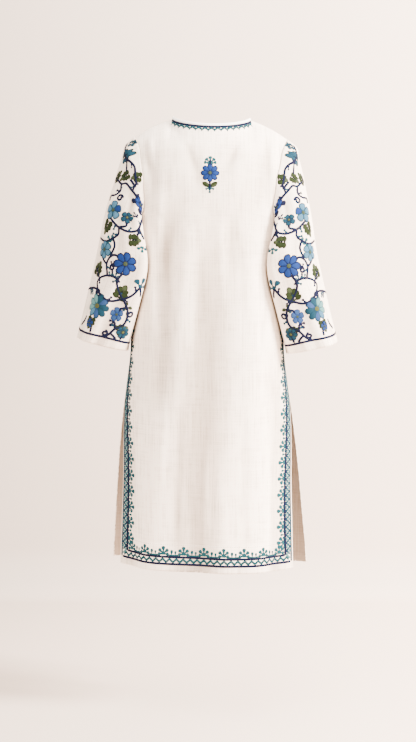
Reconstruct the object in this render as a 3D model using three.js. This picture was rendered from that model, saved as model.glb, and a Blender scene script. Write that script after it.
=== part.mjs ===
// A pheran: a straight, knee-length pull-over tunic with wide set-in sleeves, a round neck bound
// with a narrow strip, and side slits from the hip to the hem. It keeps the hollow shape it has
// when it is worn, with the arms hanging a little away from the sides.
//
// Millimetres, +Z up, +Y towards the wearer's back and +X towards the wearer's left. The origin lies
// midway between the two high shoulder points, where the shoulder seams meet the neckline.
//
// Each panel is a wall on a surface of two parameters: u runs across it from edge to edge, -1 to 1,
// and s runs down it in millimetres from the shoulder seam to the hem. The tables below hold one
// row of sizes for each level of the body, and a smooth curve joins the levels down every column.

import * as THREE from "three";

// ---- Driving sizes ----

const LENGTH = 1069; // high shoulder point to the hem, at the centre
const CLOTH = 1.2; // wall of the panels and sleeves
const TURNED_HEM = 0.7; // what the turned-up cloth adds to the wall at a hem
const HEM_DEPTH = 24; // the turned-up part of a hem
const SEAM_GAP = 0.3; // between two pieces at a seam
const BINDING_GAP = 0.7; // between the neckline's edge and its binding

const NECK = { half: 94, y: 5, share: 0.5, roundness: 1.25 }; // share is |u| at the high shoulder point
const SHOULDER = { half: 181, y: 0, drop: 43, arch: 4 }; // the outer end of the shoulder seam
const SHOULDER_ROLL = { forward: 1, down: 0.3, from: 0.35, to: 0.6 }; // how the cloth leaves the seam

const UNDERARM_BULK = 1.2; // what the seams' allowances add under the arm
const UNDERARM = 250; // s at the underarm point, where the armhole meets the side seam
const SLIT_TOP = 545; // s at the top of the side slit
const FLATNESS = 0.8; // below 1, a level is flatter at its middle than an ellipse

// One row for each level of a panel. A level is part of a flattened ellipse: full is half its width,
// depth is the y of its middle, base is the y of its widest place, and arc is how far round it the
// panel goes from its middle to its edge, in degrees. zMid and zEdge are the heights of both.
const BACK = {
  side: 1,
  neck: { y: 68, z: -21 },
  levels: [
    { s: 75, zMid: -84, zEdge: -92, full: 190, depth: 97, base: 0, arc: 60 },
    { s: 138, zMid: -148, zEdge: -156, full: 207, depth: 111, base: 0, arc: 48.5 },
    { s: 180, zMid: -188, zEdge: -205, full: 200, depth: 113, base: 0, arc: 49 },
    { s: 212, zMid: -218, zEdge: -235, full: 198, depth: 112, base: 0, arc: 53 },
    { s: 250, zMid: -252, zEdge: -247, full: 197, depth: 111, base: 0, arc: 90 },
    { s: 400, zMid: -402, zEdge: -400, full: 180, depth: 104, base: 0, arc: 90 },
    { s: 545, zMid: -547, zEdge: -545, full: 183, depth: 113, base: 0, arc: 90 },
    { s: 700, zMid: -702, zEdge: -699, full: 206, depth: 119, base: -44, arc: 76 },
    { s: 880, zMid: -882, zEdge: -878, full: 222, depth: 113, base: -68, arc: 66 },
    { s: 1069, zMid: -1069, zEdge: -1063, full: 240, depth: 108, base: -80, arc: 60 },
  ],
};
const FRONT = {
  side: -1,
  neck: { y: -93, z: -104 },
  levels: [
    { s: 75, zMid: -134, zEdge: -92, full: 191, depth: -105, base: 0, arc: 60 },
    { s: 138, zMid: -172, zEdge: -156, full: 206, depth: -116, base: 0, arc: 50 },
    { s: 180, zMid: -202, zEdge: -205, full: 200, depth: -123, base: 0, arc: 50.5 },
    { s: 212, zMid: -226, zEdge: -236, full: 198, depth: -127, base: 0, arc: 55 },
    { s: 250, zMid: -255, zEdge: -247, full: 197, depth: -130, base: 0, arc: 90 },
    { s: 400, zMid: -402, zEdge: -400, full: 180, depth: -119, base: 0, arc: 90 },
    { s: 545, zMid: -547, zEdge: -545, full: 183, depth: -112, base: 0, arc: 90 },
    { s: 700, zMid: -702, zEdge: -699, full: 210, depth: -110, base: 31, arc: 76 },
    { s: 880, zMid: -882, zEdge: -879, full: 242, depth: -107, base: 31, arc: 66 },
    { s: 1069, zMid: -1069, zEdge: -1062, full: 274, depth: -104, base: 9, arc: 60 },
  ],
};

// Soft folds: a ridge (depth above 0) or a trough (below 0) whose middle runs from x0 at s0 to x1 at
// s1, and which fades in and out over the length "fade" at each end that isn't at the hem.
const BACK_FOLDS = [
  { x0: 54, s0: 50, x1: 14, s1: 190, width: 17, depth: -3.5, fade: 60 },
  { x0: -62, s0: 45, x1: -18, s1: 160, width: 17, depth: -3.5, fade: 55 },
  { x0: 148, s0: 45, x1: 128, s1: 190, width: 15, depth: -3.5, fade: 60 },
  { x0: -118, s0: 50, x1: -132, s1: 200, width: 15, depth: -3.5, fade: 60 },
  { x0: 116, s0: 110, x1: 112, s1: 330, width: 17, depth: 4, fade: 90 },
  { x0: 88, s0: 170, x1: 118, s1: 760, width: 24, depth: -6, fade: 150 },
  { x0: 42, s0: 170, x1: 56, s1: 620, width: 30, depth: 4, fade: 170 },
  { x0: -8, s0: 190, x1: 22, s1: 1069, width: 48, depth: -10, fade: 330 },
  { x0: -52, s0: 190, x1: -58, s1: 390, width: 17, depth: -3, fade: 80 },
  { x0: -98, s0: 170, x1: -116, s1: 1069, width: 36, depth: 7, fade: 260 },
  { x0: 122, s0: 600, x1: 132, s1: 1069, width: 38, depth: 8, fade: 240 },
  { x0: 178, s0: 640, x1: 174, s1: 1069, width: 20, depth: -5, fade: 200 },
  { x0: -160, s0: 480, x1: -168, s1: 1069, width: 20, depth: -5, fade: 200 },
  { x0: -45, s0: 700, x1: -50, s1: 1069, width: 30, depth: 4, fade: 240 },
];
const FRONT_FOLDS = [
  { x0: 104, s0: 60, x1: 92, s1: 300, width: 18, depth: 4, fade: 90 },
  { x0: -108, s0: 60, x1: -96, s1: 280, width: 18, depth: 4, fade: 90 },
  { x0: 134, s0: 60, x1: 122, s1: 260, width: 16, depth: -3.5, fade: 80 },
  { x0: -136, s0: 60, x1: -124, s1: 240, width: 16, depth: -3.5, fade: 80 },
  { x0: 4, s0: 150, x1: 0, s1: 1069, width: 56, depth: -9, fade: 300 },
  { x0: 86, s0: 240, x1: 96, s1: 1069, width: 40, depth: 9, fade: 260 },
  { x0: -82, s0: 220, x1: -90, s1: 1069, width: 40, depth: 8, fade: 260 },
  { x0: 150, s0: 480, x1: 160, s1: 1069, width: 28, depth: -8, fade: 240 },
  { x0: -148, s0: 500, x1: -158, s1: 1069, width: 28, depth: -7, fade: 240 },
  { x0: 196, s0: 640, x1: 214, s1: 1069, width: 24, depth: 5, fade: 220 },
  { x0: -196, s0: 640, x1: -214, s1: 1069, width: 24, depth: 5, fade: 220 },
];

// One row for each ring of a sleeve below the armhole, for the wearer's left arm. d is the distance
// down the sleeve, (x, y, z) the ring's middle and reach its half-size across. deep and fore are its
// depths behind and in front of the middle. tilt is the rise of its outer end in degrees, wrap how
// far its back turns in round the body, and drop how much lower its back hangs than its front.
const SLEEVE_RINGS = [
  { d: 140, x: 188, y: 6, z: -238, reach: 72, deep: 90, fore: 112, tilt: 50, wrap: 20, drop: 4 },
  { d: 290, x: 200, y: 14, z: -346, reach: 67, deep: 86, fore: 100, tilt: 19, wrap: 30, drop: 8 },
  { d: 395, x: 221, y: 14, z: -442, reach: 68, deep: 76, fore: 84, tilt: 14.5, wrap: 14, drop: 8 },
  { d: 495, x: 246, y: 10, z: -534, reach: 66, deep: 68, fore: 68, tilt: 12.7, wrap: 0, drop: 8 },
];
const SLEEVE_LENGTH = 495;
const SLEEVE_PARTING = 170; // down the sleeve, where its wall is parted into two solids
// How much further out the cloth leaves the shoulder than straight to the first ring.
const SLEEVE_HEAD = 0.4;
const RING_SQUARENESS = 0.9; // below 1, a ring is squarer than an ellipse
// How far the sleeve stands off the body: near at the seam, far once it is "over" down the sleeve,
// and softened by the share "blend". Above the level "from" the seam alone decides.
const BODY_CLEARANCE = { near: 2.5, far: 7, over: 26, blend: 0.03, from: 190, by: 225 };

// Soft folds of a sleeve, round it at the angle a0 to a1 (0 outside, 90 back, 180 against the body).
const SLEEVE_FOLDS = [
  { a0: 62, d0: 30, a1: 84, d1: 240, width: 17, depth: -5, fade: 80 },
  { a0: 30, d0: 60, a1: 44, d1: 330, width: 20, depth: 5, fade: 100 },
  { a0: 96, d0: 190, a1: 78, d1: 495, width: 20, depth: -5, fade: 130 },
  { a0: 48, d0: 300, a1: 56, d1: 495, width: 22, depth: 4, fade: 110 },
  { a0: 300, d0: 30, a1: 282, d1: 260, width: 18, depth: -5, fade: 80 },
  { a0: 330, d0: 120, a1: 318, d1: 400, width: 20, depth: 5, fade: 110 },
  { a0: 262, d0: 240, a1: 276, d1: 495, width: 20, depth: -5, fade: 120 },
];

// The garment hangs a little askew: higher at the left shoulder, swayed to the left below the
// shoulders, and turned towards the hem. rise is a slope, turn is in degrees.
const HANG = { rise: 0.0175, sway: 10, swayBy: 330, turn: -5, turnFrom: 420 };

const BINDING = { tall: 7, thick: 2.4 }; // the folded strip that stands on the neckline's edge

// ---- Grids ----

const PANEL_COLUMNS = 36; // even, so that a column meets each high shoulder point
const ARMHOLE_STEPS = 14; // rows beside the armhole, and half the sleeve's columns
const BODY_STEPS = 15; // rows from the underarm to the top of the turned-up hem
const UPPER_STEPS = 6; // rings from the armhole to the parting across a sleeve
const LOWER_STEPS = 10; // rings from the parting to the top of the sleeve's hem

// ---- Small helpers ----

const radians = THREE.MathUtils.degToRad;
const mix = THREE.MathUtils.lerp;
const ease = THREE.MathUtils.smoothstep; // (x, from, to)
const vector = (x, y, z) => new THREE.Vector3(x, y, z);
const signedPower = (x, power) => Math.sign(x) * Math.abs(x) ** power;

// The slope of a smooth curve through three points at the middle one, for uneven steps.
function slopeAt(before, here, after, step1, step2) {
  const first = here.clone().sub(before).divideScalar(step1);
  const second = after.clone().sub(here).divideScalar(step2);
  return first.multiplyScalar(step2).addScaledVector(second, step1).divideScalar(step1 + step2);
}

// A point of the cubic from a to b with the slopes given, at the share t of the step.
function cubic(a, b, slopeA, slopeB, step, t) {
  const t2 = t * t;
  const t3 = t2 * t;
  return a
    .clone()
    .multiplyScalar(2 * t3 - 3 * t2 + 1)
    .addScaledVector(slopeA, (t3 - 2 * t2 + t) * step)
    .addScaledVector(b, 3 * t2 - 2 * t3)
    .addScaledVector(slopeB, (t3 - t2) * step);
}

// The height of all the folds at a place, given its distance from each fold's middle line.
function foldHeight(folds, along, end, distanceTo) {
  let height = 0;
  for (const f of folds) {
    const [from, to] = [f.s0 ?? f.d0, f.s1 ?? f.d1];
    const t = THREE.MathUtils.clamp((along - from) / (to - from), 0, 1);
    const rise = ease(along, from, from + f.fade);
    const fall = to >= end ? 1 : 1 - ease(along, to - f.fade, to);
    height += f.depth * rise * fall * Math.exp(-((distanceTo(f, t) / f.width) ** 2));
  }
  return height;
}

// A closed wall between two grids of points, each a list of rows. With "round" the rows are loops,
// and with "ring" the last row joins the first.
function wallGeometry(outer, inner, { round = false, ring = false } = {}) {
  const rows = outer.length;
  const columns = outer[0].length;
  const positions = [...outer.flat(), ...inner.flat()].flatMap((p) => [p.x, p.y, p.z]);
  const index = [];
  const at = (layer, i, j) => layer * rows * columns + (i % rows) * columns + (j % columns);
  const quad = (a, b, c, d) => index.push(a, b, c, a, c, d);
  const lastRow = ring ? rows : rows - 1;
  const lastColumn = round ? columns : columns - 1;
  for (let i = 0; i < lastRow; i++)
    for (let j = 0; j < lastColumn; j++) {
      quad(at(0, i, j), at(0, i + 1, j), at(0, i + 1, j + 1), at(0, i, j + 1));
      quad(at(1, i, j), at(1, i, j + 1), at(1, i + 1, j + 1), at(1, i + 1, j));
    }
  if (!ring)
    for (let j = 0; j < lastColumn; j++) {
      quad(at(0, 0, j), at(0, 0, j + 1), at(1, 0, j + 1), at(1, 0, j));
      quad(at(0, lastRow, j), at(1, lastRow, j), at(1, lastRow, j + 1), at(0, lastRow, j + 1));
    }
  if (!round)
    for (let i = 0; i < lastRow; i++) {
      quad(at(0, i, 0), at(1, i, 0), at(1, i + 1, 0), at(0, i + 1, 0));
      quad(at(0, i, lastColumn), at(0, i + 1, lastColumn), at(1, i + 1, lastColumn), at(1, i, lastColumn));
    }
  return facingOut(positions, index);
}

// The geometry of a closed mesh, with every face turned round if they point inwards.
function facingOut(positions, index) {
  let volume = 0;
  const corner = (k) => vector(...positions.slice(3 * index[k], 3 * index[k] + 3));
  for (let k = 0; k < index.length; k += 3) volume += corner(k).dot(corner(k + 1).cross(corner(k + 2)));
  if (volume < 0) index.reverse();
  const geometry = new THREE.BufferGeometry();
  geometry.setAttribute("position", new THREE.Float32BufferAttribute(positions, 3));
  geometry.setIndex(index);
  return geometry;
}

// ---- The front and back panels ----

// The top row: the neckline out to the high shoulder point, then the shoulder seam.
function topPoint(panel, u) {
  const side = Math.sign(u);
  if (Math.abs(u) <= NECK.share) {
    const angle = (Math.abs(u) / NECK.share) * (Math.PI / 2);
    const depth = Math.max(0, Math.cos(angle));
    return vector(
      side * NECK.half * Math.sin(angle),
      mix(NECK.y, panel.neck.y, depth),
      panel.neck.z * depth ** NECK.roundness,
    );
  }
  const t = (Math.abs(u) - NECK.share) / (1 - NECK.share);
  return vector(
    side * mix(NECK.half, SHOULDER.half, t),
    mix(NECK.y, SHOULDER.y, t),
    -SHOULDER.drop * t + SHOULDER.arch * 4 * t * (1 - t),
  );
}

// The level at any distance down a panel. Each size runs smoothly through its column of the table
// and never past its neighbours.
function levelAt(panel, s) {
  const levels = panel.levels;
  const last = levels.length - 1;
  let k = 0;
  while (k < last - 1 && s >= levels[k + 1].s) k++;
  const step = levels[k + 1].s - levels[k].s;
  const t = (s - levels[k].s) / step;
  const level = {};
  for (const size of ["zMid", "zEdge", "full", "depth", "base", "arc"]) {
    const chord = (i) => (levels[i + 1][size] - levels[i][size]) / (levels[i + 1].s - levels[i].s);
    const slope = (i) => {
      if (i === 0 || i === last) return chord(Math.min(i, last - 1));
      const [before, after] = [chord(i - 1), chord(i)];
      return before * after <= 0 ? 0 : (2 * before * after) / (before + after);
    };
    const [a, b] = [levels[k][size], levels[k + 1][size]];
    level[size] =
      a * (2 * t ** 3 - 3 * t ** 2 + 1) +
      b * (3 * t ** 2 - 2 * t ** 3) +
      slope(k) * step * (t ** 3 - 2 * t ** 2 + t) +
      slope(k + 1) * step * (t ** 3 - t ** 2);
  }
  return level;
}

// A point of a level, which is flattened at its middle.
function levelPoint(panel, u, s) {
  const level = levelAt(panel, s);
  const most = radians(level.arc);
  const inward = Math.max(0, Math.cos(u * most));
  const share = (inward - Math.cos(most)) / (1 - Math.cos(most));
  return vector(
    level.full * Math.sin(u * most),
    mix(level.base, level.depth, inward ** FLATNESS),
    mix(level.zEdge, level.zMid, share),
  );
}

// The panel's surface before its folds: its levels, and above them a curve that leaves the
// neckline straight and rolls over the shoulder.
function smoothPanel(panel, u, s) {
  const first = panel.levels[0].s;
  if (s >= first) return levelPoint(panel, u, s);
  const [top, bottom] = [topPoint(panel, u), levelPoint(panel, u, first)];
  const straight = bottom.clone().sub(top).divideScalar(first);
  const rolled = vector(0, panel.side * SHOULDER_ROLL.forward, -SHOULDER_ROLL.down);
  const leaving = straight.lerp(rolled, ease(Math.abs(u), SHOULDER_ROLL.from, SHOULDER_ROLL.to));
  const arriving = levelPoint(panel, u, first + 1).sub(bottom);
  return cubic(top, bottom, leaving, arriving, first, s / first);
}

// How far the folds may show: not at a sewn edge, but in full along the slit and the hem.
function foldFreedom(u, s) {
  const fromEdge = 1 - ease(Math.abs(u), 0.84, 1) * (1 - ease(s, SLIT_TOP, SLIT_TOP + 120));
  return fromEdge * ease(s, 0, 90);
}

// The wall's outward direction on a smooth surface, from two small steps along it.
function outward(surface, a, b, stepA, stepB, side) {
  const across = surface(a + stepA, b).sub(surface(a - stepA, b));
  const down = surface(a, b + stepB).sub(surface(a, b - stepB));
  return across.cross(down).multiplyScalar(side).normalize();
}

// The outward direction of a panel. The two panels share it along the shoulder and side seams, so
// that their walls stand edge to edge.
function panelNormal(panel, surface, u, s) {
  const [stepU, stepS] = [0.01, 1];
  const inU = THREE.MathUtils.clamp(u, -1 + stepU, 1 - stepU);
  const inS = THREE.MathUtils.clamp(s, stepS, LENGTH - stepS);
  const normal = outward(surface, inU, inS, stepU, stepS, panel.side);
  const onShoulder = s === 0 && Math.abs(u) >= NECK.share;
  const onSide = Math.abs(u) === 1 && s >= UNDERARM && s <= SLIT_TOP;
  if (onShoulder) {
    const slope = Math.atan2(SHOULDER.drop, SHOULDER.half - NECK.half);
    return vector(Math.sign(u) * Math.sin(slope), 0, Math.cos(slope));
  }
  return onSide ? normal.setY(0).normalize() : normal;
}

// The outer surface of a panel with its folds, a little apart from the other panel at the seams.
function panelSurface(panel, folds) {
  const smooth = (u, s) => smoothPanel(panel, u, s);
  return (u, s) => {
    const place = smooth(u, s);
    const height =
      foldFreedom(u, s) *
      foldHeight(folds, s, LENGTH, (f, t) => place.x - mix(f.x0, f.x1, t));
    const seam = Math.max(0, 1 - Math.abs(s) / 40, Math.abs(u) * 10 - 9);
    return place
      .addScaledVector(panelNormal(panel, smooth, u, s), height)
      .add(vector(0, (panel.side * SEAM_GAP * seam) / 2, 0));
  };
}

const evenSteps = (from, to, steps) => Array.from({ length: steps }, (_, i) => mix(from, to, i / steps));
const closing = (share) => 1 - (1 - share) ** 1.6; // steps that shorten towards the underarm
const PANEL_ROWS = [
  ...evenSteps(0, 1, ARMHOLE_STEPS).map((share) => UNDERARM * closing(share)),
  ...evenSteps(UNDERARM, LENGTH - HEM_DEPTH, BODY_STEPS),
  LENGTH - HEM_DEPTH,
  LENGTH - HEM_DEPTH + 1,
  LENGTH,
];
const PANEL_US = Array.from({ length: PANEL_COLUMNS + 1 }, (_, j) => (2 * j) / PANEL_COLUMNS - 1);

// The wall's thickness: a hem is turned up, so it is thicker.
const wallAt = (along, length) => CLOTH + (along > length - HEM_DEPTH ? TURNED_HEM : 0);

function panelGeometry(panel, folds) {
  const surface = panelSurface(panel, folds);
  const outer = PANEL_ROWS.map((s) => PANEL_US.map((u) => surface(u, s)));
  const inner = PANEL_ROWS.map((s, i) =>
    PANEL_US.map((u, j) => {
      const normal = panelNormal(panel, surface, u, s);
      return outer[i][j].clone().addScaledVector(normal, -wallAt(s, LENGTH));
    }),
  );
  return wallGeometry(outer, inner);
}

// ---- The sleeves ----

// The armhole as a loop for the left arm, from the shoulder down the back and up the front. It lies
// off the panels' outer faces by the seam's gap and half a wall.
function armholeLoop() {
  const edge = (panel, s) => {
    const smooth = (u, t) => smoothPanel(panel, u, t);
    const normal = panelNormal(panel, smooth, 1, s);
    const bulk = UNDERARM_BULK * ease(s, UNDERARM - 60, UNDERARM);
    return smooth(1, s).addScaledVector(normal, 1.6 * SEAM_GAP + CLOTH / 2 + bulk);
  };
  const rows = PANEL_ROWS.slice(0, ARMHOLE_STEPS + 1);
  return [
    ...rows.map((s) => edge(BACK, s)),
    ...rows.slice(1, -1).reverse().map((s) => edge(FRONT, s)),
  ];
}

const ARMHOLE = armholeLoop();
const SLEEVE_COLUMNS = ARMHOLE.length;

// A point of one of the sleeve's rings, at a share of the way round from its outer end.
function ringPoint(ring, share) {
  const angle = share * 2 * Math.PI;
  const across = ring.reach * signedPower(Math.cos(angle), RING_SQUARENESS);
  const back = signedPower(Math.sin(angle), RING_SQUARENESS);
  const tilt = radians(ring.tilt);
  const [depth, wrap] = back > 0 ? [ring.deep, ring.wrap] : [ring.fore, 0];
  return vector(
    ring.x + across * Math.cos(tilt) - wrap * Math.sin(angle) ** 2,
    ring.y + depth * back,
    ring.z + across * Math.sin(tilt) - ring.drop * back,
  );
}

// The armhole at any share of the way round.
function armholePoint(share) {
  const place = (((share % 1) + 1) % 1) * SLEEVE_COLUMNS;
  const k = Math.floor(place);
  return ARMHOLE[k % SLEEVE_COLUMNS].clone().lerp(ARMHOLE[(k + 1) % SLEEVE_COLUMNS], place - k);
}

// Keeps a point of the sleeve outside the body of the tunic, whose levels are flattened ellipses:
// a point inside one moves straight out from the body's middle line.
function clearOfBody(point, d) {
  const grown = ease(d, 0, BODY_CLEARANCE.over);
  const held = Math.max(grown, ease(-point.z, BODY_CLEARANCE.from, BODY_CLEARANCE.by));
  const far = mix(BODY_CLEARANCE.near, BODY_CLEARANCE.far, grown);
  const blend = mix(0.1, 1, grown) * BODY_CLEARANCE.blend;
  const s = THREE.MathUtils.clamp(-point.z, BODY_CLEARANCE.from, SLIT_TOP);
  const level = levelAt(point.y > 0 ? BACK : FRONT, s);
  const part = Math.hypot(
    point.x / (level.full + far),
    (Math.abs(point.y) / (Math.abs(level.depth) + far)) ** (1 / FLATNESS),
  );
  const short = 1 / part - 1;
  const out = 1 + held * 0.5 * (short + Math.sqrt(short * short + blend * blend));
  return vector(point.x * out, point.y * out, point.z);
}

// The middle of the left sleeve's wall, before its folds and before it is kept off the body.
function smoothSleeve(share, d) {
  const steps = [0, ...SLEEVE_RINGS.map((ring) => ring.d)];
  const point = (k) => (k === 0 ? armholePoint(share) : ringPoint(SLEEVE_RINGS[k - 1], share));
  const last = steps.length - 1;
  let k = 0;
  while (k < last - 1 && d >= steps[k + 1]) k++;
  const chord = (i) => point(i + 1).sub(point(i)).divideScalar(steps[i + 1] - steps[i]);
  const slope = (i) => {
    if (i === 0) return chord(0).add(vector(SLEEVE_HEAD * Math.max(0, Math.cos(share * 2 * Math.PI)), 0, 0));
    if (i === last) return chord(last - 1);
    return slopeAt(point(i - 1), point(i), point(i + 1), steps[i] - steps[i - 1], steps[i + 1] - steps[i]);
  };
  const step = steps[k + 1] - steps[k];
  return cubic(point(k), point(k + 1), slope(k), slope(k + 1), step, (d - steps[k]) / step);
}

const sleeveNormal = (surface, share, d) => {
  const inD = THREE.MathUtils.clamp(d, 1, SLEEVE_LENGTH - 1);
  return outward(surface, share, inD, 0.005, 1, -1);
};

function sleeveSurface(share, d) {
  const radius = 75; // turns an angle round the sleeve into a distance
  const angle = share * 360;
  const height = foldHeight(SLEEVE_FOLDS, d, SLEEVE_LENGTH, (f, t) => {
    const apart = angle - mix(f.a0, f.a1, t);
    return radians(apart) * radius;
  });
  const folded = smoothSleeve(share, d).addScaledVector(sleeveNormal(smoothSleeve, share, d), height);
  return clearOfBody(folded, d);
}

// A sleeve's wall is parted across into two solids, which stand edge to edge.
const UPPER_ROWS = [0, 10, ...evenSteps(0, SLEEVE_PARTING, UPPER_STEPS).slice(1), SLEEVE_PARTING];
const LOWER_ROWS = [
  SLEEVE_PARTING + SEAM_GAP,
  ...evenSteps(SLEEVE_PARTING, SLEEVE_LENGTH - HEM_DEPTH, LOWER_STEPS).slice(1),
  SLEEVE_LENGTH - HEM_DEPTH,
  SLEEVE_LENGTH - HEM_DEPTH + 1,
  SLEEVE_LENGTH,
];

// side is 1 for the left sleeve and -1 for the right one, which mirrors it.
function sleeveGeometry(side, rows) {
  const shares = Array.from({ length: SLEEVE_COLUMNS }, (_, j) => j / SLEEVE_COLUMNS);
  const mirrored = (p) => vector(side * p.x, p.y, p.z);
  const face = (out) => rows.map((d) => shares.map((share) => {
    const offset = out * CLOTH / 2 + Math.max(0, out) * (wallAt(d, SLEEVE_LENGTH) - CLOTH);
    return sleeveSurface(share, d).addScaledVector(sleeveNormal(sleeveSurface, share, d), offset);
  }));
  const place = (grid) => grid.map((row) => row.map(mirrored));
  return wallGeometry(place(face(1)), place(face(-1)), { round: true });
}

// ---- The binding round the neck ----

// A folded strip that carries the cloth on past the neckline's edge. Its section is a thin rounded
// bar, which runs round the neckline beside the panels' own edges.
function bindingGeometry() {
  const edges = [];
  const columns = PANEL_US.filter((u) => Math.abs(u) <= NECK.share);
  for (const [panel, folds, us] of [
    [BACK, BACK_FOLDS, columns],
    [FRONT, FRONT_FOLDS, columns.slice(1, -1).reverse()],
  ]) {
    const surface = panelSurface(panel, folds);
    for (const u of us) {
      const normal = panelNormal(panel, surface, u, 0);
      const point = surface(u, 0).addScaledVector(normal, -CLOTH / 2);
      edges.push({ point, normal, down: surface(u, 20).sub(point) });
    }
  }
  const { tall, thick } = BINDING;
  // Each corner of the section: how far past the neckline's edge, and how far out from its middle.
  const outline = [
    { past: BINDING_GAP, out: thick * 0.25 },
    { past: tall * 0.3, out: thick * 0.5 },
    { past: tall * 0.8, out: thick * 0.5 },
    { past: tall, out: 0 },
    { past: tall * 0.8, out: -thick * 0.5 },
    { past: tall * 0.3, out: -thick * 0.5 },
    { past: BINDING_GAP, out: -thick * 0.25 },
  ];
  const count = edges.length;
  const near = (i, step) => edges[(i + step + count) % count];
  const sections = edges.map(({ point, normal, down }, i) => {
    const along = near(i, 1).point.clone().sub(near(i, -1).point).normalize();
    const out = normal.clone().add(near(i, 1).normal).add(near(i, -1).normal);
    out.addScaledVector(along, -out.dot(along)).normalize();
    const past = out.clone().cross(along).normalize();
    if (past.dot(down) > 0) past.negate();
    return outline.map((c) => point.clone().addScaledVector(past, c.past).addScaledVector(out, c.out));
  });
  const index = [];
  const sides = outline.length;
  const at = (i, k) => (i % count) * sides + (k % sides);
  for (let i = 0; i < count; i++)
    for (let k = 0; k < sides; k++)
      index.push(at(i, k), at(i + 1, k), at(i + 1, k + 1), at(i, k), at(i + 1, k + 1), at(i, k + 1));
  return facingOut(sections.flat().flatMap((p) => [p.x, p.y, p.z]), index);
}

// ---- The garment ----

const ecru = new THREE.MeshStandardMaterial({ color: 0xece2d6, roughness: 0.9, metalness: 0 });
const bleached = new THREE.MeshStandardMaterial({ color: 0xf8f5ee, roughness: 0.85, metalness: 0 });

// Moves a point of the straight garment to where it hangs.
function hang(p) {
  const turn = radians(HANG.turn) * ease(-p.z, HANG.turnFrom, LENGTH);
  return vector(
    p.x * Math.cos(turn) - p.y * Math.sin(turn) + HANG.sway * ease(-p.z, 0, HANG.swayBy),
    p.x * Math.sin(turn) + p.y * Math.cos(turn),
    p.z + HANG.rise * p.x,
  );
}

const pheran = new THREE.Group();
function add(name, geometry, material) {
  const places = geometry.getAttribute("position");
  for (let i = 0; i < places.count; i++) {
    const p = hang(vector().fromBufferAttribute(places, i));
    places.setXYZ(i, p.x, p.y, p.z);
  }
  geometry.computeVertexNormals();
  const mesh = new THREE.Mesh(geometry, material);
  mesh.name = name;
  pheran.add(mesh);
}

add("back_panel", panelGeometry(BACK, BACK_FOLDS), ecru);
add("front_panel", panelGeometry(FRONT, FRONT_FOLDS), ecru);
add("sleeve_left_upper", sleeveGeometry(1, UPPER_ROWS), ecru);
add("sleeve_left_lower", sleeveGeometry(1, LOWER_ROWS), ecru);
add("sleeve_right_upper", sleeveGeometry(-1, UPPER_ROWS), ecru);
add("sleeve_right_lower", sleeveGeometry(-1, LOWER_ROWS), ecru);
add("neck_binding", bindingGeometry(), bleached);

export default pheran;
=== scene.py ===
"""A pheran as it hangs when worn: off-white handwoven cotton, a bound neck and thread embroidery.

Shapes are worked out in millimetres, +Z up, +Y towards the wearer's back and +X towards the
wearer's left, and meshes are written in metres. Each cloth piece is a thin shell on a grid of two
parameters. The same grid, as a Chart, carries everything that is sewn on that piece.
"""

from __future__ import annotations

import logging
from dataclasses import dataclass, field, replace
from enum import Enum

import bmesh
import bpy
import numpy as np
from numpy.typing import NDArray
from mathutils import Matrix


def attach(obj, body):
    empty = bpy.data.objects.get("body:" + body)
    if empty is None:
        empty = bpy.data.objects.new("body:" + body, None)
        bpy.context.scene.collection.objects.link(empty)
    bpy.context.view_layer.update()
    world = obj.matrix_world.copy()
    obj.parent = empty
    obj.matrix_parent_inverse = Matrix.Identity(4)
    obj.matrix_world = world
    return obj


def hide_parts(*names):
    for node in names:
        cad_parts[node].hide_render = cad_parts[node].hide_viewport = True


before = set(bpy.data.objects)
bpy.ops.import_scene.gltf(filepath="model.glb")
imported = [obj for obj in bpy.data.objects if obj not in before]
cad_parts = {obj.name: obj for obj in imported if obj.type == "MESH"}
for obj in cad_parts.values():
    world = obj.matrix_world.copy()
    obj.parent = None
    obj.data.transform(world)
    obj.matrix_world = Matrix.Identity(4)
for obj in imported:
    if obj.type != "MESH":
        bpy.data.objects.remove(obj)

Array = NDArray[np.float64]
Colour = tuple[float, float, float]
log = logging.getLogger("pheran")

LENGTH = 1069.0
SLEEVE_LENGTH = 495.0
CLOTH = 1.2
HEM_DEPTH = 24.0
TURNED_HEM = 0.7
UNDERARM = 250.0
SLIT_TOP = 545.0
FLATNESS = 0.8
SEAM_GAP = 0.3
NECK_X, SHOULDER_X, SHOULDER_DROP = 94.0, 181.0, 43.0
FACING_TOP = 1004.5
MM_PER_DEGREE = 1.31
WARM = (1.0, 0.93, 0.87)
# Painted shade: a colour factor for the cloth's inner face, and the warmth given to painted shade.
INSIDE_PAINTED_SHADE = np.array([0.44, 0.40, 0.36])
SHADE_WARMTH = np.array([0.92, 1.0, 1.08])


# ---- Curves ----


def ease(x: Array, low: float, high: float) -> Array:
    """Smooth step from 0 at low to 1 at high: 3t^2 - 2t^3 with t = (x - low) / (high - low)."""
    t = np.clip((x - low) / (high - low), 0.0, 1.0)
    return t * t * (3.0 - 2.0 * t)


def band(x: Array, *places: float) -> Array:
    """1 between the second place and the third, eased to 0 at the first and the fourth."""
    return ease(x, *places[:2]) * (1.0 - ease(x, *places[2:]))


def mix(a: Array, b: Array, t: Array) -> Array:
    """Straight blend a + (b - a) t."""
    return a + (b - a) * t


def unit(v: Array) -> Array:
    """Vectors scaled to length 1."""
    return v / np.maximum(np.linalg.norm(v, axis=-1, keepdims=True), 1e-9)


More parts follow.
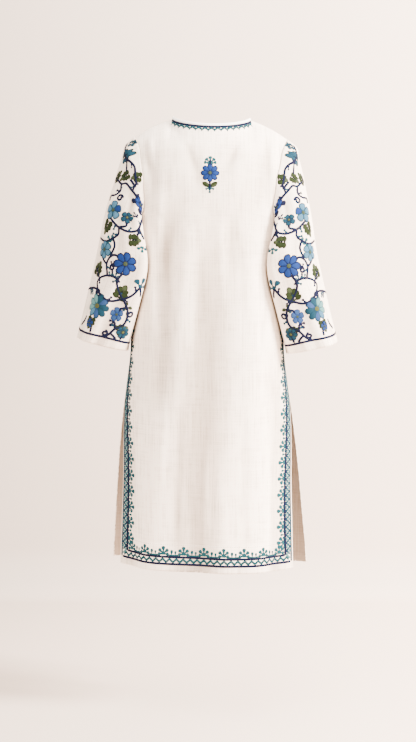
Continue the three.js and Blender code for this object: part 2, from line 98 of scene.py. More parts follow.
def monotone(knots: Array, values: Array, x: Array) -> Array:
    """A smooth curve through the values that never overshoots them.

    Each piece is a cubic Hermite one. A knot's slope is the harmonic mean of the chords on either
    side of it, or 0 where they have opposite signs.

    Args:
        knots: Rising positions of the values.
        values: The value at each knot.
        x: Where the curve is read.

    Returns:
        The curve at x.
    """
    k = np.clip(np.searchsorted(knots, x, side="right") - 1, 0, len(knots) - 2)
    step = np.diff(knots)
    chord = np.diff(values) / step
    inner = chord[:-1] * chord[1:]
    mean = 2.0 * inner / np.where(inner > 0.0, chord[:-1] + chord[1:], 1.0)
    slope = np.concatenate([chord[:1], np.where(inner > 0.0, mean, 0.0), chord[-1:]])
    t = (x - knots[k]) / step[k]
    return hermite(values[k], values[k + 1], slope[k] * step[k], slope[k + 1] * step[k], t)


def hermite(a: Array, b: Array, leave: Array, arrive: Array, t: Array) -> Array:
    """The cubic from a to b, whose slopes in t are leave at its start and arrive at its end."""
    return (
        a * (2 * t**3 - 3 * t**2 + 1)
        + b * (3 * t**2 - 2 * t**3)
        + leave * (t**3 - 2 * t**2 + t)
        + arrive * (t**3 - t**2)
    )


def run_along(path: Array) -> Array:
    """Each point's distance along a path of points."""
    return np.concatenate([[0.0], np.cumsum(np.linalg.norm(np.diff(path, axis=0), axis=1))])


def flow(points: Array, step: float) -> Array:
    """A Catmull-Rom curve through the points, read about every step.

    Args:
        points: The (n, k) points that the curve passes through.
        step: The distance between readings, in the points' own unit.

    Returns:
        The (m, k) points read along the curve.
    """
    ends = np.concatenate([[2 * points[0] - points[1]], points, [2 * points[-1] - points[-2]]])
    spans = np.linalg.norm(np.diff(points, axis=0), axis=1)
    counts = np.maximum(2, np.ceil(spans / step).astype(int))
    k = np.repeat(np.arange(len(spans)), counts)
    t = np.concatenate([np.arange(c) / c for c in counts])[:, None]
    a, b, c, d = ends[k], ends[k + 1], ends[k + 2], ends[k + 3]
    bend = (2 * a - 5 * b + 4 * c - d) * t**2 + (3 * b - a - 3 * c + d) * t**3
    return np.concatenate([0.5 * (2 * b + (c - a) * t + bend), points[-1:]])


def hang(p: Array) -> Array:
    """Moves points of the straight garment to where it hangs.

    A point turns by -5 degrees about the upright axis, eased in from 420 mm down to the hem, sways
    10 mm to +X over the top 330 mm, and rises by 0.0175 of its x.
    """
    turn = np.radians(-5.0) * ease(-p[..., 2], 420.0, LENGTH)
    x = p[..., 0] * np.cos(turn) - p[..., 1] * np.sin(turn) + 10.0 * ease(-p[..., 2], 0.0, 330.0)
    y = p[..., 0] * np.sin(turn) + p[..., 1] * np.cos(turn)
    return np.stack([x, y, p[..., 2] + 0.0175 * p[..., 0]], axis=-1)


def fold_height(folds: Array, along: Array, across: Array, end: float) -> Array:
    """How far a surface stands out over its folds.

    Each fold is a ridge or trough exp(-(distance / width)^2) about a line that runs from (c0, s0) to
    (c1, s1), and fades in and out over its fade, but for a fold that runs out at the end.

    Args:
        folds: Rows of c0, s0, c1, s1, width, depth and fade.
        along: Each point's place down the piece.
        across: Each point's place across it, in the unit of c0 and c1.
        end: Where the piece ends.

    Returns:
        The height in millimetres at each point.
    """
    total = np.zeros_like(along)
    for c0, s0, c1, s1, width, depth, fade in folds:
        t = np.clip((along - s0) / (s1 - s0), 0.0, 1.0)
        shape = ease(along, s0, s0 + fade) * (1.0 if s1 >= end else 1.0 - ease(along, s1 - fade, s1))
        total += depth * shape * np.exp(-(((across - mix(c0, c1, t)) / width) ** 2))
    return total


def normals(points: Array, sign: float, loop: bool = False) -> Array:
    """Outward directions of a grid: the cross product of its slopes along both axes, times the sign.

    Args:
        points: The (n, m, 3) grid.
        sign: 1 or -1, whichever faces outward.
        loop: Whether the first axis closes, its last row being its first again.

    Returns:
        The (n, m, 3) unit directions.
    """
    wide = np.concatenate([points[-2:-1], points, points[1:2]]) if loop else points
    across = np.gradient(wide, axis=0)
    across = across[1:-1] if loop else across
    return unit(np.cross(across, np.gradient(points, axis=1))) * sign


# ---- Thread, cloth and studio finishes ----


class Thread(Enum):
    """The embroidery's thread colours, in linear light."""

    NAVY = (0.0028, 0.0044, 0.0180)
    ROYAL = (0.0060, 0.0200, 0.0900)
    MID = (0.0160, 0.0400, 0.1050)
    SKY = (0.0350, 0.0950, 0.1500)
    TEAL = (0.0050, 0.0260, 0.0420)
    SEA = (0.0065, 0.0400, 0.0490)
    PALE_TEAL = (0.0600, 0.1450, 0.1450)
    DEEP_GREEN = (0.0045, 0.0075, 0.0025)
    LEAF = (0.0105, 0.0165, 0.0050)
    LIME = (0.0520, 0.0520, 0.0130)
    OLIVE = (0.0270, 0.0360, 0.0160)
    SEWING = (0.3600, 0.2900, 0.2200)


def put(node: bpy.types.Node, sockets: dict[int | str, object]) -> None:
    """Sets or links a node's inputs, given by place or by name with "_" for spaces."""
    for key, value in sockets.items():
        socket = node.inputs[key.replace("_", " ") if isinstance(key, str) else key]
        if isinstance(value, bpy.types.NodeSocket):
            node.id_data.links.new(value, socket)
        else:
            socket.default_value = value


def wire(
    tree: bpy.types.NodeTree, kind: str, *inputs: object, out: int | str = 0, **settings: object
) -> bpy.types.NodeSocket:
    """Adds a shader node.

    Args:
        tree: The material's node tree.
        kind: The node's type name without "ShaderNode".
        inputs: Values of its first sockets, or outputs to link to them.
        out: The output handed back.
        settings: The same by socket name, and node properties in lower case.

    Returns:
        The output socket.
    """
    node = tree.nodes.new("ShaderNode" + kind)
    for name in [name for name in settings if name[0].islower()]:
        setattr(node, name, settings.pop(name))
    put(node, dict(enumerate(inputs)) | settings)
    return node.outputs[out]


def ramp(
    tree: bpy.types.NodeTree, share: bpy.types.NodeSocket, stops: dict[float, Colour]
) -> bpy.types.NodeSocket:
    """Adds a colour ramp through the stops given, its two ends first."""
    colour = wire(tree, "ValToRGB", share)
    elements = colour.node.color_ramp.elements
    for k, (position, tone) in enumerate(stops.items()):
        stop = elements[k] if k < 2 else elements.new(position)
        stop.position, stop.color = position, (*tone, 1.0)
    return colour


def blank(name: str) -> tuple[bpy.types.Material, bpy.types.Node]:
    """A new material with nodes.

    Args:
        name: The material's name.

    Returns:
        The material and its principled shader.
    """
    material = bpy.data.materials.new(name)
    material.use_nodes = True
    return material, material.node_tree.nodes["Principled BSDF"]


@dataclass(frozen=True)
class ClothFinish:
    """Plain handwoven cotton: slubs down the cloth, a fine weave and a soft mottling."""

    name: str = "handwoven_cotton"
    light: Colour = (0.88, 0.755, 0.64)
    shade: Colour = (0.66, 0.55, 0.45)
    slub: float = 0.6
    weave: float = 0.3

    def material(self) -> bpy.types.Material:
        """Builds the material on the "weave" coordinates, which are metres across and down the cloth.

        Returns:
            The material. Its colour mixes the yarn's own light and shade colours by slubs, which are noise
            stretched along the threads both ways, and by a coarse mottling, times the tint attribute's
            painted light and shade. Its bump adds the slubs to two crossed sine waves, the threads.
        """
        material, shader = blank(self.name)
        tree = material.node_tree
        place = wire(tree, "UVMap", uv_map="weave")
        down = wire(tree, "Mapping", Vector=place, Scale=(340.0, 9.0, 1.0))
        over = wire(tree, "Mapping", Vector=place, Scale=(14.0, 300.0, 1.0))
        slub = wire(tree, "TexNoise", Vector=down, Scale=1.0, Detail=3.0, Roughness=0.6)
        pick = wire(tree, "TexNoise", Vector=over, Scale=1.0, Detail=2.0, Roughness=0.5)
        mottle = wire(tree, "TexNoise", Vector=place, Scale=26.0, Detail=3.0, Roughness=0.6)
        both = wire(tree, "Math", pick, 0.45, slub, operation="MULTIPLY_ADD")
        blend = wire(tree, "Math", mottle, 0.5, both, operation="MULTIPLY_ADD")
        middle = tuple(mix(np.array(self.shade), np.array(self.light), 0.72).tolist())
        colour = ramp(tree, blend, {0.74: self.shade, 1.0: self.light, 0.95: middle})
        # Painted light and shade of the folds and the inside, from the tint attribute.
        painted_light_and_shade = wire(tree, "VertexColor", layer_name="tint")
        warp, weft = (
            wire(tree, "TexWave", out="Fac", Vector=place, Scale=190.0, bands_direction=way, Distortion=1.5)
            for way in "XY"
        )
        threads = wire(tree, "Math", warp, weft, operation="MULTIPLY")
        fine = wire(tree, "Bump", Height=threads, Strength=self.weave, Distance=0.0003)
        put(shader, {
            "Base Color": wire(tree, "VectorMath", colour, painted_light_and_shade, operation="MULTIPLY"),
            "Normal": wire(tree, "Bump", Height=both, Strength=self.slub, Distance=0.0005, Normal=fine),
            "Roughness": 0.9, "Specular IOR Level": 0.15, "Sheen Weight": 0.12, "Sheen Roughness": 0.6,
        })
        return material


@dataclass(frozen=True)
class ThreadFinish:
    """Stranded embroidery thread: its own tint with fine ridges across it."""

    name: str = "embroidery_thread"
    ridges: float = 320.0

    def material(self) -> bpy.types.Material:
        """Builds the material on the "tint" colours, which carry painted highlights, and the "weave"
        coordinates, in metres.

        Returns:
            The material. The tint is varied by a sine wave across the stitches, which is its bump too.
        """
        material, shader = blank(self.name)
        tree = material.node_tree
        place = wire(tree, "UVMap", uv_map="weave")
        wave = wire(
            tree, "TexWave", out="Fac", Vector=place, Scale=self.ridges, bands_direction="X", Distortion=2.0,
            Detail=1.0,
        )
        noise = wire(tree, "TexNoise", Vector=place, Scale=420.0, Detail=2.0)
        tint = wire(tree, "VertexColor", layer_name="tint")
        share = wire(tree, "MapRange", Value=wave, To_Min=0.78, To_Max=1.12)
        uneven = wire(tree, "MapRange", Value=noise, To_Min=0.5, To_Max=1.5)
        both = wire(tree, "Math", share, uneven, operation="MULTIPLY")
        put(shader, {
            "Base Color": wire(tree, "VectorMath", tint, operation="SCALE", Scale=both),
            "Normal": wire(tree, "Bump", Height=wave, Strength=0.5, Distance=0.0003),
            "Roughness": 0.7, "Specular IOR Level": 0.06,
        })
        return material


@dataclass(frozen=True)
class StudioFinish:
    """A matt painted studio wall and floor with a barely uneven tone, and painted light that brightens it
    towards -X.
    """

    name: str = "studio_paint"
    floor: Colour = (0.72, 0.60, 0.51)
    wall: Colour = (0.66, 0.55, 0.47)

    def material(self) -> bpy.types.Material:
        """Builds the material: the floor's tone below z = -1.405 m, the wall's above -1.37 m.

        Returns:
            The material, whose tone also rises from +X to -X: painted light, brighter on the key light's
            side.
        """
        material, shader = blank(self.name)
        tree = material.node_tree
        where = wire(tree, "TexCoord", out="Object")
        across = wire(tree, "SeparateXYZ", Vector=where)
        # Painted light: the colour brightens from +X to -X, towards the key light.
        side = wire(tree, "MapRange", Value=across, From_Min=0.8, From_Max=-0.8, To_Min=0.72, To_Max=1.16)
        share = wire(tree, "MapRange", Value=across.node.outputs["Z"], From_Min=-1.405, From_Max=-1.37)
        noise = wire(tree, "TexNoise", Vector=where, Scale=1.3, Detail=2.0)
        colour = ramp(tree, share, {0.0: self.floor, 1.0: self.wall})
        tone = wire(tree, "MapRange", Value=noise, To_Min=0.985, To_Max=1.015)
        both = wire(tree, "Math", side, tone, operation="MULTIPLY")
        put(shader, {
            "Base Color": wire(tree, "VectorMath", colour, operation="SCALE", Scale=both),
            "Roughness": 0.85, "Specular IOR Level": 0.1,
        })
        return material


# ---- Meshes ----


def linked(name: str, data: bpy.types.ID) -> bpy.types.Object:
    """Makes an object of the scene."""
    piece = bpy.data.objects.new(name, data)
    bpy.context.scene.collection.objects.link(piece)
    return piece


def meshed(name: str, points: Array, faces: list[list[int]], finish: bpy.types.Material) -> bpy.types.Object:
    """Makes a smooth-shaded object of the scene from points in metres."""
    mesh = bpy.data.meshes.new(name)
    mesh.from_pydata(points.tolist(), [], faces)
    mesh.polygons.foreach_set("use_smooth", np.ones(len(faces), bool))
    mesh.materials.append(finish)
    return linked(name, mesh)


@dataclass
class MeshBuilder:
    """Collects grids of points, with their stitch coordinates and tints, into one mesh."""

    points: list[Array] = field(default_factory=list)
    faces: list[NDArray[np.int64]] = field(default_factory=list)
    weave: list[Array] = field(default_factory=list)
    tints: list[Array] = field(default_factory=list)
    count: int = 0

    def add(self, points: Array, weave: Array, tint: Array, *blocks: NDArray[np.int64]) -> None:
        """Adds points and the faces between them.

        Args:
            points: The (n, 3) points in millimetres.
            weave: Their (n, 2) coordinates, or (k, corners, 2) of each face's corners, in millimetres.
            tint: Their colours, (n, 3) or (3,).
            blocks: The (k, 3 or 4) corners of faces.
        """
        self.points.append(points)
        self.tints.append(np.broadcast_to(tint, (len(points), 3)))
        for faces in blocks:
            self.faces.append(faces + self.count)
            self.weave.append((weave[faces] if weave.ndim == 2 else weave).reshape(-1, 2))
        self.count += len(points)

    def grid(self, points: Array, weave: Array, tint: Array, flip: bool, wrap: bool = False) -> None:
        """Adds an (n, m) grid of points as quads.

        Args:
            points: The (n, m, 3) points.
            weave: The (n, m, 2) coordinates, with one row more where the first axis wraps.
            tint: A colour, or one for each point.
            flip: Turns the faces round.
            wrap: Joins the last row to the first.
        """
        n, m = points.shape[:2]
        i, j = np.meshgrid(np.arange(n if wrap else n - 1), np.arange(m - 1), indexing="ij")
        near = np.stack([i, i + 1, i + 1, i], axis=-1).reshape(-1, 4)
        down = np.stack([j, j, j + 1, j + 1], axis=-1).reshape(-1, 4)
        if flip:
            near, down = near[:, ::-1], down[:, ::-1]
        colour = tint if np.ndim(tint) == 1 else tint.reshape(-1, 3)
        self.add(points.reshape(-1, 3), weave[near, down], colour, (near % n) * m + down)

    def build(self, name: str, material: bpy.types.Material) -> bpy.types.Object:
        """Makes the object.

        Args:
            name: The object's name.
            material: Its material.

        Returns:
            The object, smooth shaded, with a "weave" map in metres and a "tint" colour attribute, which
            carries the colours with their painted light and shade.
        """
        faces = [row for block in self.faces for row in block.tolist()]
        piece = meshed(name, np.concatenate(self.points) / 1000.0, faces, material)
        mesh = piece.data
        layer = mesh.uv_layers.new(name="weave")
        layer.data.foreach_set("uv", (np.concatenate(self.weave) / 1000.0).ravel().astype(np.float32))
        tints = np.concatenate(self.tints)
        colour = mesh.color_attributes.new("tint", "FLOAT_COLOR", "POINT")
        rgba = np.concatenate([tints, np.ones((len(tints), 1))], axis=1)
        colour.data.foreach_set("color", rgba.ravel().astype(np.float32))
        mesh.update()
        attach(piece, "root")
        return piece


@dataclass(frozen=True)
class Chart:
    """A piece's outer face: points and outward directions on a grid of two parameters, p and q."""

    p: Array
    q: Array
    points: Array
    out: Array
    # Painted light and shade: a factor on the colour at each point.
    tone: Array
    sign: float
    period: float = 0.0

    def read(self, grid: Array, p: Array, q: Array) -> Array:
        """Reads a grid between its points, by straight blends along both axes."""
        p = p % self.period if self.period else np.clip(p, self.p[0], self.p[-1])
        i = np.interp(p, self.p, np.arange(len(self.p)))
        j = np.interp(q, self.q, np.arange(len(self.q)))
        i0 = np.clip(i.astype(int), 0, len(self.p) - 2)
        j0 = np.clip(j.astype(int), 0, len(self.q) - 2)
        f, g = (i - i0)[..., None], (j - j0)[..., None]
        top = mix(grid[i0, j0], grid[i0 + 1, j0], f)
        return mix(top, mix(grid[i0, j0 + 1], grid[i0 + 1, j0 + 1], f), g)

    def place(self, p: Array, q: Array, height: float | Array = 0.0) -> Array:
        """Points at a height above the face."""
        lift = np.asarray(height)[..., None]
        return self.read(self.points, p, q) + unit(self.read(self.out, p, q)) * lift

    def offset(self, p: Array, q: Array, x: Array, y: Array) -> tuple[Array, Array]:
        """Moves from (p, q) by x and y millimetres in the face, x towards greater p and y upwards.

        The face is taken as flat about (p, q). With slopes a and b along p and q, the step (dp, dq)
        solves a dp + b dq = x across + y up, where across is along a and up is square to it.

        Args:
            p: The first parameter where the move starts.
            q: The second one.
            x: The distance across.
            y: The distance up.

        Returns:
            The parameters where the move ends.
        """
        p, q = np.broadcast_arrays(p, q, x)[:2]
        dp, dq = (self.p[-1] - self.p[0]) / 90.0, 8.0
        q0 = np.clip(q, self.q[0] + dq, self.q[-1] - dq)
        a = (self.place(p + dp, q0) - self.place(p - dp, q0)) / (2 * dp)
        b = (self.place(p, q0 + dq) - self.place(p, q0 - dq)) / (2 * dq)
        across = unit(a)
        lean = (b * across).sum(-1)
        up = -unit(b - lean[..., None] * across)
        step_q = y / np.minimum((b * up).sum(-1), -0.7)
        return p + (x - step_q * lean) / np.linalg.norm(a, axis=-1), q + step_q


# ---- The cut ----


@dataclass(frozen=True)
class PanelShape:
    """A front or back panel. u runs from edge to edge, -1 to 1, and s down it in millimetres.

    A level is part of a flattened ellipse: rows of levels hold s, the heights of its middle and its
    edge, half its width, the y of its middle, the y of its widest place, and the angle from middle to
    edge. Rows of folds and creases hold x0, s0, x1, s1, width, depth and fade.
    """

    name: str
    side: float
    neck_y: float
    neck_z: float
    levels: Array
    folds: Array
    creases: Array

    def level_point(self, u: Array, s: Array) -> Array:
        """A level's point: x = full sin(u arc), y = base + (depth - base) cos(u arc)^0.8."""
        z_mid, z_edge, full, depth, base, arc = (
            monotone(self.levels[:, 0], self.levels[:, k], s) for k in range(1, 7)
        )
        most = np.radians(arc)
        inward = np.maximum(0.0, np.cos(u * most))
        share = (inward - np.cos(most)) / (1.0 - np.cos(most))
        return np.stack(
            [full * np.sin(u * most), mix(base, depth, inward**FLATNESS), mix(z_edge, z_mid, share)], -1
        )

    def top_point(self, u: Array) -> Array:
        """The top edge: the neckline up to |u| = 0.5, part of an ellipse, then the shoulder seam."""
        side, a = np.sign(u), np.abs(u)
        angle = np.clip(a / 0.5, 0.0, 1.0) * np.pi / 2
        depth = np.maximum(0.0, np.cos(angle))
        neck = [side * NECK_X * np.sin(angle), mix(5.0, self.neck_y, depth), self.neck_z * depth**1.25]
        t = np.clip((a - 0.5) / 0.5, 0.0, 1.0)
        fall = -SHOULDER_DROP * t + 16.0 * t * (1.0 - t)
        seam = [side * mix(NECK_X, SHOULDER_X, t), mix(5.0, 0.0, t), fall]
        return np.where((a <= 0.5)[..., None], np.stack(neck, -1), np.stack(seam, -1))

    def smooth(self, u: Array, s: Array) -> Array:
        """The panel without its folds: levels from s = 75 down, and a cubic from the top edge above."""
        first = self.levels[0, 0]
        low = self.level_point(u, np.maximum(s, first))
        top, bottom = self.top_point(u), self.level_point(u, np.full_like(s, first))
        roll = ease(np.abs(u), 0.35, 0.6)[..., None]
        leave = mix(bottom - top, np.array([0.0, self.side, -0.3]) * first, roll)
        arrive = (self.level_point(u, np.full_like(s, first + 1.0)) - bottom) * first
        high = hermite(top, bottom, leave, arrive, (np.clip(s, 0.0, first) / first)[..., None])
        return np.where((s >= first)[..., None], low, high)

    def shared(self, out: Array, u: Array, s: Array) -> Array:
        """Turns the outward directions so that both panels share them along their seams."""
        slope = np.arctan2(SHOULDER_DROP, SHOULDER_X - NECK_X)
        seam = np.stack([np.sign(u) * np.sin(slope), 0 * u, 0 * u + np.cos(slope)], -1)
        on_shoulder = ((np.abs(u) >= 0.5) * (1.0 - ease(s, 0.0, 12.0)))[..., None]
        out = unit(mix(out, seam, on_shoulder))
        on_side = (ease(np.abs(u), 0.97, 1.0) * (s >= UNDERARM - 2) * (s <= SLIT_TOP))[..., None]
        return unit(mix(out, out * np.array([1.0, 0.0, 1.0]), on_side))

    def straight(self, u: Array, s: Array) -> tuple[Array, Array, Array]:
        """The outer face before it hangs.

        Args:
            u: The (n, m) grid of u.
            s: The (n, m) grid of s.

        Returns:
            The points, the outward directions, and each point's painted light and shade, a factor on its
            colour.
        """
        p = self.smooth(u, s)
        free = 1.0 - ease(np.abs(u), 0.84, 1.0) * (1.0 - ease(s, SLIT_TOP, SLIT_TOP + 120.0))
        height = free * ease(s, 0.0, 90.0) * fold_height(self.folds, s, p[..., 0], LENGTH)
        seam = np.maximum(0.0, np.maximum(1.0 - np.abs(s) / 40.0, np.abs(u) * 10.0 - 9.0))
        gap = np.stack([0 * s, self.side * SEAM_GAP / 2 * seam, 0 * s], -1)
        fine = free * fold_height(self.creases, s, p[..., 0], LENGTH + 1) + free * ripple(p[..., 0], s)
        p = p + normals(p, self.side) * height[..., None] + gap
        # The hem's facing lifts the cloth over it by its own thickness.
        facing = TURNED_HEM * ease(s, FACING_TOP - 1.0, FACING_TOP + 1.0) * band(u, -0.93, -0.92, 0.78, 0.8)
        p = p + normals(p, self.side) * (fine * ease(s, 0.0, 30.0) + facing)[..., None]
        # Painted shade: the cloth's colour is darker where the panel's edge lies against a sleeve.
        shade_beside_sleeve = ease(np.abs(u), 0.95, 1.0) * band(s, 110.0, 200.0, 440.0, 540.0)
        # Painted light: the right half's colour is lighter beside its sleeve, and so are the shoulders and
        # the skirt.
        lit = ease(-u, 0.55, 0.8) * band(s, 150.0, 250.0, 480.0, 600.0)
        lit = 1.0 + 0.1 * np.maximum(lit, np.maximum(ease(s, 520.0, 900.0), 1.0 - ease(s, 20.0, 150.0)))
        tone = painted_fold_shade(height, fine) * lit * (1.0 - 0.6 * shade_beside_sleeve)
        # Painted shade: the hem's bottom band is darker, as it turns away at a grazing angle.
        return p, self.shared(normals(p, self.side), u, s), tone - 0.13 * ease(s, 1048.0, 1056.0)


def painted_fold_shade(height: Array, fine: Array) -> Array:
    """Painted shade in a fold's colour: 5 percent darker for each millimetre down, creases counting more."""
    return 1.0 - 0.05 * np.clip(-height - 2.8 * fine, -2.0, 9.0)


def ripple(x: Array, s: Array) -> Array:
    """The slack of handwoven cloth: a few crossing sine waves, under half a millimetre in all."""
    wide = np.sin(x / 9.0 + 0.9 * np.sin(s / 71.0)) * np.sin(s / 113.0 + x / 37.0)
    narrow = np.sin(x / 5.3 + 1.4 * np.sin(s / 47.0 + x / 61.0)) * np.sin(s / 83.0)
    return 0.22 * wide + 0.16 * narrow


BACK = PanelShape(
    name="back_panel",
    side=1.0,
    neck_y=68.0,
    neck_z=-21.0,
    levels=np.array([
        (75, -84, -92, 190, 97, 0, 60), (138, -148, -156, 207, 111, 0, 48.5),
        (180, -188, -205, 200, 113, 0, 49), (212, -218, -235, 198, 112, 0, 53),
        (250, -252, -247, 197, 111, 0, 90), (400, -402, -400, 180, 104, 0, 90),
        (545, -547, -545, 183, 113, 0, 90), (700, -702, -699, 206, 119, -44, 76),
        (880, -882, -878, 222, 113, -68, 66), (1069, -1069, -1063, 240, 108, -80, 60),
    ], float),
    folds=np.array([
        (54, 50, 14, 190, 17, -3.5, 60), (-62, 45, -18, 160, 17, -3.5, 55),
        (148, 45, 128, 190, 15, -3.5, 60), (-118, 50, -132, 200, 15, -3.5, 60),
        (116, 110, 112, 330, 17, 4, 90), (88, 170, 118, 760, 24, -6, 150),
        (42, 170, 56, 620, 30, 4, 170), (-8, 190, 22, 1069, 48, -10, 330),
        (-52, 190, -58, 390, 17, -3, 80), (-98, 170, -116, 1069, 36, 7, 260),
        (122, 600, 132, 1069, 38, 8, 240), (178, 640, 174, 1069, 20, -5, 200),
        (-160, 480, -168, 1069, 20, -5, 200), (-45, 700, -50, 1069, 30, 4, 240),
    ], float),
    creases=np.array([
        (158, 22, 144, 150, 7, -1.6, 40), (146, 30, 130, 120, 6, 1.2, 35),
        (-126, 25, -140, 150, 7, -1.6, 40), (-150, 30, -152, 140, 6, 1.0, 35),
        (62, 40, 30, 130, 7, -1.3, 40), (-70, 35, -38, 120, 7, -1.3, 40),
        (104, 150, 96, 420, 9, -1.5, 90), (132, 200, 128, 520, 8, 1.4, 110),
        (70, 220, 84, 480, 8, 1.2, 90), (14, 260, 26, 620, 10, -1.4, 120),
        (-30, 210, -36, 470, 9, 1.2, 100), (-76, 240, -84, 520, 8, -1.5, 100),
        (-118, 330, -124, 560, 6, -1.3, 70), (-138, 420, -128, 500, 6, -1.2, 30),
        (-132, 470, -120, 560, 6, -1.0, 30), (92, 560, 104, 900, 9, 1.4, 120),
        (60, 640, 66, 1069, 9, -1.4, 140), (-8, 700, -4, 1069, 10, 1.5, 150),
        (-86, 640, -94, 1069, 9, -1.3, 150), (150, 760, 156, 1069, 8, -1.3, 120),
        (-140, 700, -150, 1069, 9, 1.3, 140), (40, 900, 44, 1069, 8, 1.0, 80),
    ], float),
)
FRONT = PanelShape(
    name="front_panel",
    side=-1.0,
    neck_y=-93.0,
    neck_z=-104.0,
    levels=np.array([
        (75, -134, -92, 191, -105, 0, 60), (138, -172, -156, 206, -116, 0, 50),
        (180, -202, -205, 200, -123, 0, 50.5), (212, -226, -236, 198, -127, 0, 55),
        (250, -255, -247, 197, -130, 0, 90), (400, -402, -400, 180, -119, 0, 90),
        (545, -547, -545, 183, -112, 0, 90), (700, -702, -699, 210, -110, 31, 76),
        (880, -882, -879, 242, -107, 31, 66), (1069, -1069, -1062, 274, -104, 9, 60),
    ], float),
    folds=np.array([
        (104, 60, 92, 300, 18, 4, 90), (-108, 60, -96, 280, 18, 4, 90),
        (134, 60, 122, 260, 16, -3.5, 80), (-136, 60, -124, 240, 16, -3.5, 80),
        (4, 150, 0, 1069, 56, -9, 300), (86, 240, 96, 1069, 40, 9, 260),
        (-82, 220, -90, 1069, 40, 8, 260), (150, 480, 160, 1069, 28, -8, 240),
        (-148, 500, -158, 1069, 28, -7, 240), (196, 640, 214, 1069, 24, 5, 220),
        (-196, 640, -214, 1069, 24, 5, 220),
    ], float),
    creases=np.array([
        (150, 26, 140, 150, 7, -1.4, 40), (-150, 26, -138, 150, 7, -1.4, 40),
        (60, 60, 40, 220, 8, -1.2, 60), (-64, 60, -46, 210, 8, -1.2, 60),
        (116, 180, 110, 460, 9, -1.5, 100), (-118, 200, -112, 480, 9, -1.4, 100),
        (48, 260, 54, 700, 9, 1.4, 120), (-44, 280, -52, 680, 9, 1.4, 120),
        (22, 520, 26, 1069, 10, -1.4, 140), (-30, 560, -30, 1069, 10, -1.4, 140),
        (120, 620, 130, 1069, 9, 1.4, 140), (-120, 640, -130, 1069, 9, 1.4, 140),
        (178, 760, 190, 1069, 8, -1.2, 120), (-178, 760, -190, 1069, 8, -1.2, 120),
    ], float),
)


